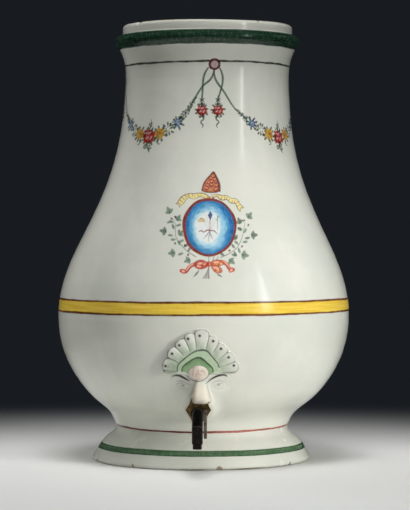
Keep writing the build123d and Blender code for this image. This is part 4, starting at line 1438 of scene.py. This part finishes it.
def crown_paint(p, u, v, pick):
    """The two green arcs over the forehead, with the pale rosette between them."""
    outer, inner = arc_depth(OUTER_ARC, u, v), arc_depth(INNER_ARC, u, v)
    above = covered(v - 1.0 + 0.45 * np.maximum(16 - np.abs(u), 0), 0.8)
    p.wash(covered(outer, 0.6) * above * (0.9 + 0.15 * grain(u, v, 3, 12)), tone(180, 208, 164))
    p.wash(covered(inner, 0.6) * above * (0.85 + 0.2 * grain(u, v, 3.5, 9)),
           tone(126, 166, 114))
    near_top = held(1.3 - inner / 4.5) * held(inner / 0.8) * held((v - 4) / 5)
    p.wash(near_top * above * 0.75, tone(92, 142, 84))
    for line, wide in ((OUTER_ARC, 1.35), (INNER_ARC, 1.45)):
        p.stroke(line, [0.9, wide, wide * 0.85, wide * 1.25, wide, 1.1], tone(34, 56, 36), 1.05)
    ru, rv, rw, rh = ROSETTE
    p.dot(ru, rv, rw, rh, tone(240, 224, 212), 1.05)
    for _ in range(34):
        turn, r = pick.uniform(0, 2 * pi), pick.uniform(0.05, 0.85)
        p.dot(ru + rw * r * cos(turn), rv + rh * r * sin(turn), pick.uniform(0.7, 1.5), 0.6,
              tone(212, 180, 160), pick.uniform(0.3, 0.55), turn=pick.uniform(0, 180))
    for u0, v0, r in ((-3.4, 0.8, 2.4), (1.4, 0.2, 2.6), (-1.2, -3.2, 2.0), (4.6, 2.2, 1.8)):
        ring = [(u0 + r * cos(t), v0 + r * 0.8 * sin(t)) for t in np.linspace(0.4, 4.9, 7)]
        p.stroke(ring, [0.3, 0.7, 0.3], tone(180, 140, 130), 0.5)
    p.stroke(HEADBAND, [0.5, 1.0, 1.1, 0.9, 0.6], tone(126, 110, 96), 0.85)


def face_paint(p, u, v):
    """Brows, lidded eyes that are darker on the left as painted shade, and the cream nose with
    painted brown shade on its left flank and under its lower edge.
    """
    for line, wide in ((LEFT_BROW, [0.9, 2.0, 2.3, 2.0, 0.7]),
                       (RIGHT_BROW, [0.5, 1.3, 1.9, 2.1, 1.0])):
        p.stroke(line, wide, tone(30, 27, 27), 1.15)
    # Painted shade: the left eye's lines are a darker grey than the right eye's.
    lids = (([(-24.0, -9.4), (-18.3, -9.0), (-13.4, -11.0), (-9.8, -12.9)],
             [(-22.6, -12.0), (-17.6, -11.2), (-14.0, -13.5)], (-16.9, -13.5),
             [(-20.5, -15.6), (-15.5, -17.0), (-11.0, -16.4)], tone(134, 138, 128)),
            ([(12.6, -10.6), (19.3, -8.7), (25.0, -10.8)],
             [(15.6, -13.0), (20.2, -11.0), (24.0, -12.6)], (18.9, -12.8),
             [(14.6, -15.8), (19.0, -17.2), (23.2, -16.0)], tone(154, 156, 148)))
    for upper, inner, pupil, lower, grey_with_painted_shade in lids:
        p.stroke(upper, [0.4, 1.0, 0.9, 0.4], grey_with_painted_shade, 0.75)
        p.stroke(inner, [0.3, 0.8, 0.3], grey_with_painted_shade, 0.8)
        p.stroke(lower, [0.3, 0.6, 0.3], grey_with_painted_shade, 0.5)
        p.dot(*pupil, 1.5, 1.05, grey_with_painted_shade, 0.85)
        p.dot(*pupil, 0.6, 0.45, tone(196, 198, 190), 0.5)
    heights, halves, _, middles = np.array(NOSE_SHAPE).T
    half = np.interp(CREST_HEIGHT + v, heights, halves) + 0.6
    middle = np.interp(CREST_HEIGHT + v, heights, middles) - CREST_ASIDE
    aside = np.abs(u - middle)
    inside = covered(half - aside, 1.5) * held((-9.5 - v) / 4)
    p.wash(inside * held(v + 32.5) * 0.9, tone(230, 221, 202))
    # Painted shade: brown on the nose's left flank, the side away from the lamps.
    shade = held((middle - 0.35 * half - u) / 3.0) * held((-12 - v) / 6)
    p.wash(shade * held((half + 1.4 - aside) / 2) * 0.62, tone(148, 122, 84))
    # Painted shade: a soft brown stroke under the nose's lower edge.
    p.stroke([(-9.0, -29.5), (-2.0, -31.2), (6.0, -30.6), (10.6, -28.6)], [1.4, 1.8, 1.4, 0.8],
             tone(150, 126, 88), 0.5, soft=1.6)


def mask_paint():
    """The mask's colours, seen from the front; places count from the fan's middle."""
    p = Paint(np.arange(-48, 48.1, PAINT_STEP), np.arange(-46, 50, PAINT_STEP), turns=False)
    u, v = np.meshgrid(p.across, p.up)
    pick = np.random.default_rng(3)
    feather_paint(p, u, v, pick)
    crown_paint(p, u, v, pick)
    face_paint(p, u, v)
    return p


def nose_depth(x, out, z, front):
    """Depths of the nose, whose flat end hangs in front of the lock nut."""
    heights, halves, reaches, middles = np.array(NOSE_SHAPE).T
    low_round = dome(1 - held((z - NOSE_LOW) / 2.4))
    wide = (np.interp(z, heights, halves) * (0.86 + 0.14 * low_round)
            * np.sqrt(held((NOSE_HIGH - z) / 3.0)))
    centre = front[len(x) // 2]
    root = np.interp(95.0, z, centre) + 5.6
    tip = root + np.interp(z, heights, reaches) * (NOSE_FRONT - root) - 1.6 * (1 - low_round)
    back = centre - 3.0
    wide = np.maximum(wide, 0.35)
    across = np.abs((x[:, None, None] - np.interp(z, heights, middles)) / wide)
    deep = np.abs((out - (tip + back) / 2) / ((tip - back) / 2))
    reach = (across ** 3.2 + deep ** 3.2) ** (1 / 3.2)
    depth = np.maximum((reach - 1) * np.maximum(wide, 1.5), NOSE_LOW - z)
    return np.where(z < NOSE_HIGH, depth, 6.0)


def mask():
    """The mask of relief, nose and mouth, pressed in one mould and set on the belly."""
    x = np.arange(-46, 46, RELIEF_STEP)
    y = np.arange(-168.0, -92.0, RELIEF_STEP)
    z = np.arange(46.0, 150.0, RELIEF_STEP)
    flat_x, flat_z = np.meshgrid(x, z, indexing="ij")
    front, slant = pot_front(flat_x, flat_z)
    u, v = flat_x - CREST_ASIDE, flat_z - CREST_HEIGHT
    raised = np.maximum(crest_height(u, v), face_height(u, v))
    out = -y[None, :, None]
    above = (out - front[:, None, :]) * slant[:, None, :]
    ring = np.hypot(x[:, None], z - TAP_HEIGHT)[:, None, :]
    lips = MOUTH_RADIUS + (MOUTH_ROOT_RADIUS - MOUTH_RADIUS) * (MOUTH_FRONT - out) / 34
    mouth = -joined(lips - ring, MOUTH_FRONT - out, 2.0)
    field = joined(above - raised[:, None, :], mouth, 12.0)
    field = joined(field, nose_depth(x, out, z, front), 3.0)
    pocket = np.maximum(ring - NUT_POCKET_RADIUS,
                        np.maximum(MOUTH_FRONT - out, out - NUT_POCKET_FRONT))
    hole = np.maximum(ring - HOLE_RADIUS, out - MOUTH_FRONT - 1)
    for cut in (pocket, hole, above + BURIED):
        field = np.maximum(field, -cut)
    start = np.array([x[0], y[0], z[0]])
    points, faces = zero_surface(field.astype(np.float32), start, RELIEF_STEP)
    mesh = piece("relief_mask", points, faces,
                 tin_glaze("mask_glaze", painted=True, roughness=0.24), ("mask",))
    paint = mask_paint()
    cells = np.stack([points[:, 0] - CREST_ASIDE - paint.across[0],
                      points[:, 2] - CREST_HEIGHT - paint.up[0]], 1) / PAINT_STEP
    cells = np.clip(cells, 0, np.array([len(paint.across), len(paint.up)]) - 1.001)
    low = cells.astype(int)
    part = cells - low
    colour, cover = 0.0, 0.0
    for a in (0, 1):
        for b in (0, 1):
            weight = np.abs(1 - a - part[:, 0]) * np.abs(1 - b - part[:, 1])
            at = low[:, 1] + b, low[:, 0] + a
            colour = colour + paint.colour[at] * weight[:, None]
            cover = cover + paint.cover[at] * weight
    give_paint(mesh, colour, cover)


mask()

# ---------------------------------------------------------------- tap


def metal(name, dark, light, edge, roughness, scale, metallic=0.9, relief=0.06):
    """Old metal: a dark skin over a lighter ground, rubbed bright in places."""
    dark, light, edge = tone(*dark), tone(*light), tone(*edge)
    f = Finish(name, Specular_IOR_Level=0.5)
    skin = f.noise(scale, 4, 0.6, 0.4)
    spots = f.noise(scale * 3.1, 3, 0.65)
    colour = f.mix(skin.rising(0.36, 0.66), dark, light)
    colour = f.mix(spots.rising(0.58, 0.76) * 0.6, colour, edge)
    colour = f.mix(spots.rising(0.30, 0.22) * 0.7, colour, dark)
    f.give(Base_Color=colour, Metallic=metallic - skin.rising(0.5, 0.2) * 0.45,
           Roughness=spots * 0.25 + (roughness - 0.1))
    f.bump(skin * 0.6 + spots * 0.4, relief)
    return f.material


def leather():
    """Oiled leather, dark and dull."""
    f = Finish("oiled_leather")
    grain_of_hide = f.noise(900, 3, 0.6)
    f.give(Roughness=grain_of_hide * 0.2 + 0.6,
           Base_Color=f.mix(f.noise(160, 3, 0.6).rising(0.35, 0.7), tone(44, 28, 18),
                            tone(74, 48, 30)))
    f.bump(grain_of_hide, 0.08)
    return f.material


for finish, nodes in (
        (leather(), ("front_gasket", "inner_gasket")),
        (metal("old_brass", (92, 74, 44), (156, 130, 84), (198, 172, 116), 0.42, 190),
         ("lock_nut", "back_nut", "tail_pipe")),
        (metal("black_bronze", (28, 25, 23), (50, 45, 41), (92, 84, 74), 0.38, 240, relief=0.05),
         ("tap_body", "spout_knee", "spout_tube")),
        (metal("worn_bronze", (52, 43, 35), (104, 88, 68), (142, 122, 94), 0.4, 260),
         ("tap_plug", "plug_washer", "plug_screw")),
        (metal("rubbed_iron", (104, 92, 82), (156, 144, 132), (196, 186, 176), 0.42, 210, 0.75),
         ("lever",)),
        (metal("black_iron", (18, 17, 16), (40, 37, 34), (70, 64, 58), 0.5, 300),
         ("lever_pin",))):
    for node in nodes:
        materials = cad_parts[node].data.materials
        materials.clear()
        materials.append(finish)

BAR_RADIUS = 5.4
BAR_HEIGHT = 62.8
MITRE_FRONT = 176.14
SPOUT_FRONT = 188.44
SPOUT_JOINT_HEIGHT = 50.5
MITRE_SLOPE = 0.4142  # of both mitres, 22.5 degrees off square
SOLDER_THICKNESS = 0.5
SOLDER_PROUD = 0.03
grey_solder = metal("grey_solder", (70, 65, 60), (104, 98, 90), (150, 144, 134), 0.45, 300)


def solder_bead(name, front, height, along):
    """A thin line of solder round a mitre, from its middle and the long axis of its ellipse."""
    turns, sides = 96, 8
    t = np.linspace(0, 2 * pi, turns, endpoint=False)
    across, along = BAR_RADIUS * np.array([1.0, 0, 0]), BAR_RADIUS * np.array(along)
    outward = np.cos(t)[:, None] * across + np.sin(t)[:, None] * along
    ring = outward + (0, -front, height)
    outward /= np.linalg.norm(outward, axis=1)[:, None]
    normal = np.cross(across, along)
    normal /= np.linalg.norm(normal)
    rise = SOLDER_PROUD + (0.05 + 0.02 * np.sin(9 * t + 1)) * np.sin(t) ** 2
    points = [ring + outward * (rise[:, None] * 0.5 * (1 + cos(k)) - 0.25 * (1 - cos(k)))
              + normal * sin(k) * SOLDER_THICKNESS
              for k in np.linspace(0, 2 * pi, sides, endpoint=False)]
    piece(name, np.concatenate(points), grid_faces(sides, turns, closed=True, wrapped=True),
          grey_solder)


solder_bead("upper_solder", MITRE_FRONT, BAR_HEIGHT, (0, -MITRE_SLOPE, 1.0))
solder_bead("lower_solder", SPOUT_FRONT, SPOUT_JOINT_HEIGHT, (0, 1.0, -MITRE_SLOPE))

# ---------------------------------------------------------------- floor, light and camera
FLOOR_TONE = tone(232, 232, 230)
BACKDROP_TONE = tone(24, 28, 32)
FLOOR_HALF = 60.0  # metres, as are all sizes from here on
LAMP_DISTANCE = 2.2
SKY_STRENGTH = 0.06


def floor():
    """A plain pale floor that fades into the backdrop away from the object."""
    far = FLOOR_HALF
    mesh = bpy.data.meshes.new("floor")
    mesh.from_pydata([(-far, -far, 0), (far, -far, 0), (far, far, 0), (-far, far, 0)], [],
                     [(0, 1, 2, 3)])
    f = Finish("pale_floor", Base_Color=FLOOR_TONE, Roughness=0.9, Specular_IOR_Level=0.1)
    across = f.node("SeparateXYZ", None, {"Vector": f.place()})
    deep = across.other(1) + 0.35
    deep = deep * (deep.rising(-0.02, 0.02) * 0.55 + 0.45)
    lit = 1 - (across * across + deep * deep).root().rising(0.42, 1.12)
    backdrop = f.node("Emission", None, {"Color": BACKDROP_TONE})
    f.show(f.node("MixShader", None, {0: 1 - lit * lit, 1: f.surface, 2: backdrop}))
    mesh.materials.append(f.material)
    stood("floor", mesh)


def sky():
    """Even light from all round, and the backdrop that the camera and gloss see."""
    world = bpy.data.worlds.new("studio")
    bpy.context.scene.world = world
    n = Nodes(world, "OutputWorld")
    path = n.node("LightPath")
    seen = path.other("Is Camera Ray")
    for ray in ("Is Glossy Ray", "Is Transmission Ray"):
        seen = seen.math("MAXIMUM", seen, path.other(ray))
    light = n.node("Background", None, {"Color": (1.0, 1.0, 1.0), "Strength": SKY_STRENGTH})
    backdrop = n.node("Background", None, {"Color": BACKDROP_TONE})
    n.show(n.node("MixShader", None, {0: seen, 1: light, 2: backdrop}))


def aim(made, place, target):
    """Puts a lamp or the camera at a place, looking at a target."""
    made.location = place
    made.rotation_euler = (Vector(target) - Vector(place)).to_track_quat("-Z", "Y").to_euler()


def lamp(name, turn, rise, power, wide=0.9, high=0.9, spread=180, target=0.22, mirrored=False):
    """A soft lamp at a turn from the front and a rise, in degrees; gloss may mirror it."""
    data = bpy.data.lights.new(name, "AREA")
    data.shape = "RECTANGLE"
    data.size, data.size_y = wide, high
    data.energy = power
    data.spread = radians(spread)
    made = stood(name, data)
    made.visible_glossy = mirrored
    turn, rise = radians(turn), radians(rise)
    place = np.array([sin(turn) * cos(rise), -cos(turn) * cos(rise), sin(rise)]) * LAMP_DISTANCE
    aim(made, place + (0, 0, target), (0.0, 0.0, target))


floor()
sky()
lamp("top", 0, 70, 29.5)
lamp("right_low", 50, 10, 0.34, 0.4, 0.4, spread=18, target=0.10)
lamp("right_foot", 50, 30, 0.28, 0.6, 0.6, spread=24, target=-0.06)
lamp("left_rim", -125, 20, 20.0)
lamp("strip", 51, 16, 2.4, 0.07, 1.0, target=0.30, mirrored=True)

CAMERA_DISTANCE = 2.237
CAMERA_HEIGHT = 0.2515
CAMERA_TURN = radians(1.9)
FOCAL_PIXELS = 2100.0
FRAME_HIGH = 510.0
HORIZON_PIXEL = 222.0
POT_SHIFT_PIXELS = 1.2


def camera():
    """The camera, level and straight on, with the pot a little to the left of its middle."""
    data = bpy.data.cameras.new("camera")
    data.sensor_fit = "AUTO"
    data.sensor_width = 36.0
    data.lens = FOCAL_PIXELS / FRAME_HIGH * data.sensor_width
    data.shift_y = -(FRAME_HIGH / 2 - HORIZON_PIXEL) / FRAME_HIGH
    aside = POT_SHIFT_PIXELS / FOCAL_PIXELS * CAMERA_DISTANCE
    ahead = np.array([-sin(CAMERA_TURN), cos(CAMERA_TURN), 0.0])
    right = np.array([cos(CAMERA_TURN), sin(CAMERA_TURN), 0.0])
    place = right * aside - ahead * CAMERA_DISTANCE + (0, 0, CAMERA_HEIGHT)
    made = stood("camera", data)
    aim(made, place, place + ahead)
    bpy.context.scene.camera = made


camera()
bpy.context.scene.view_settings.view_transform = "Standard"
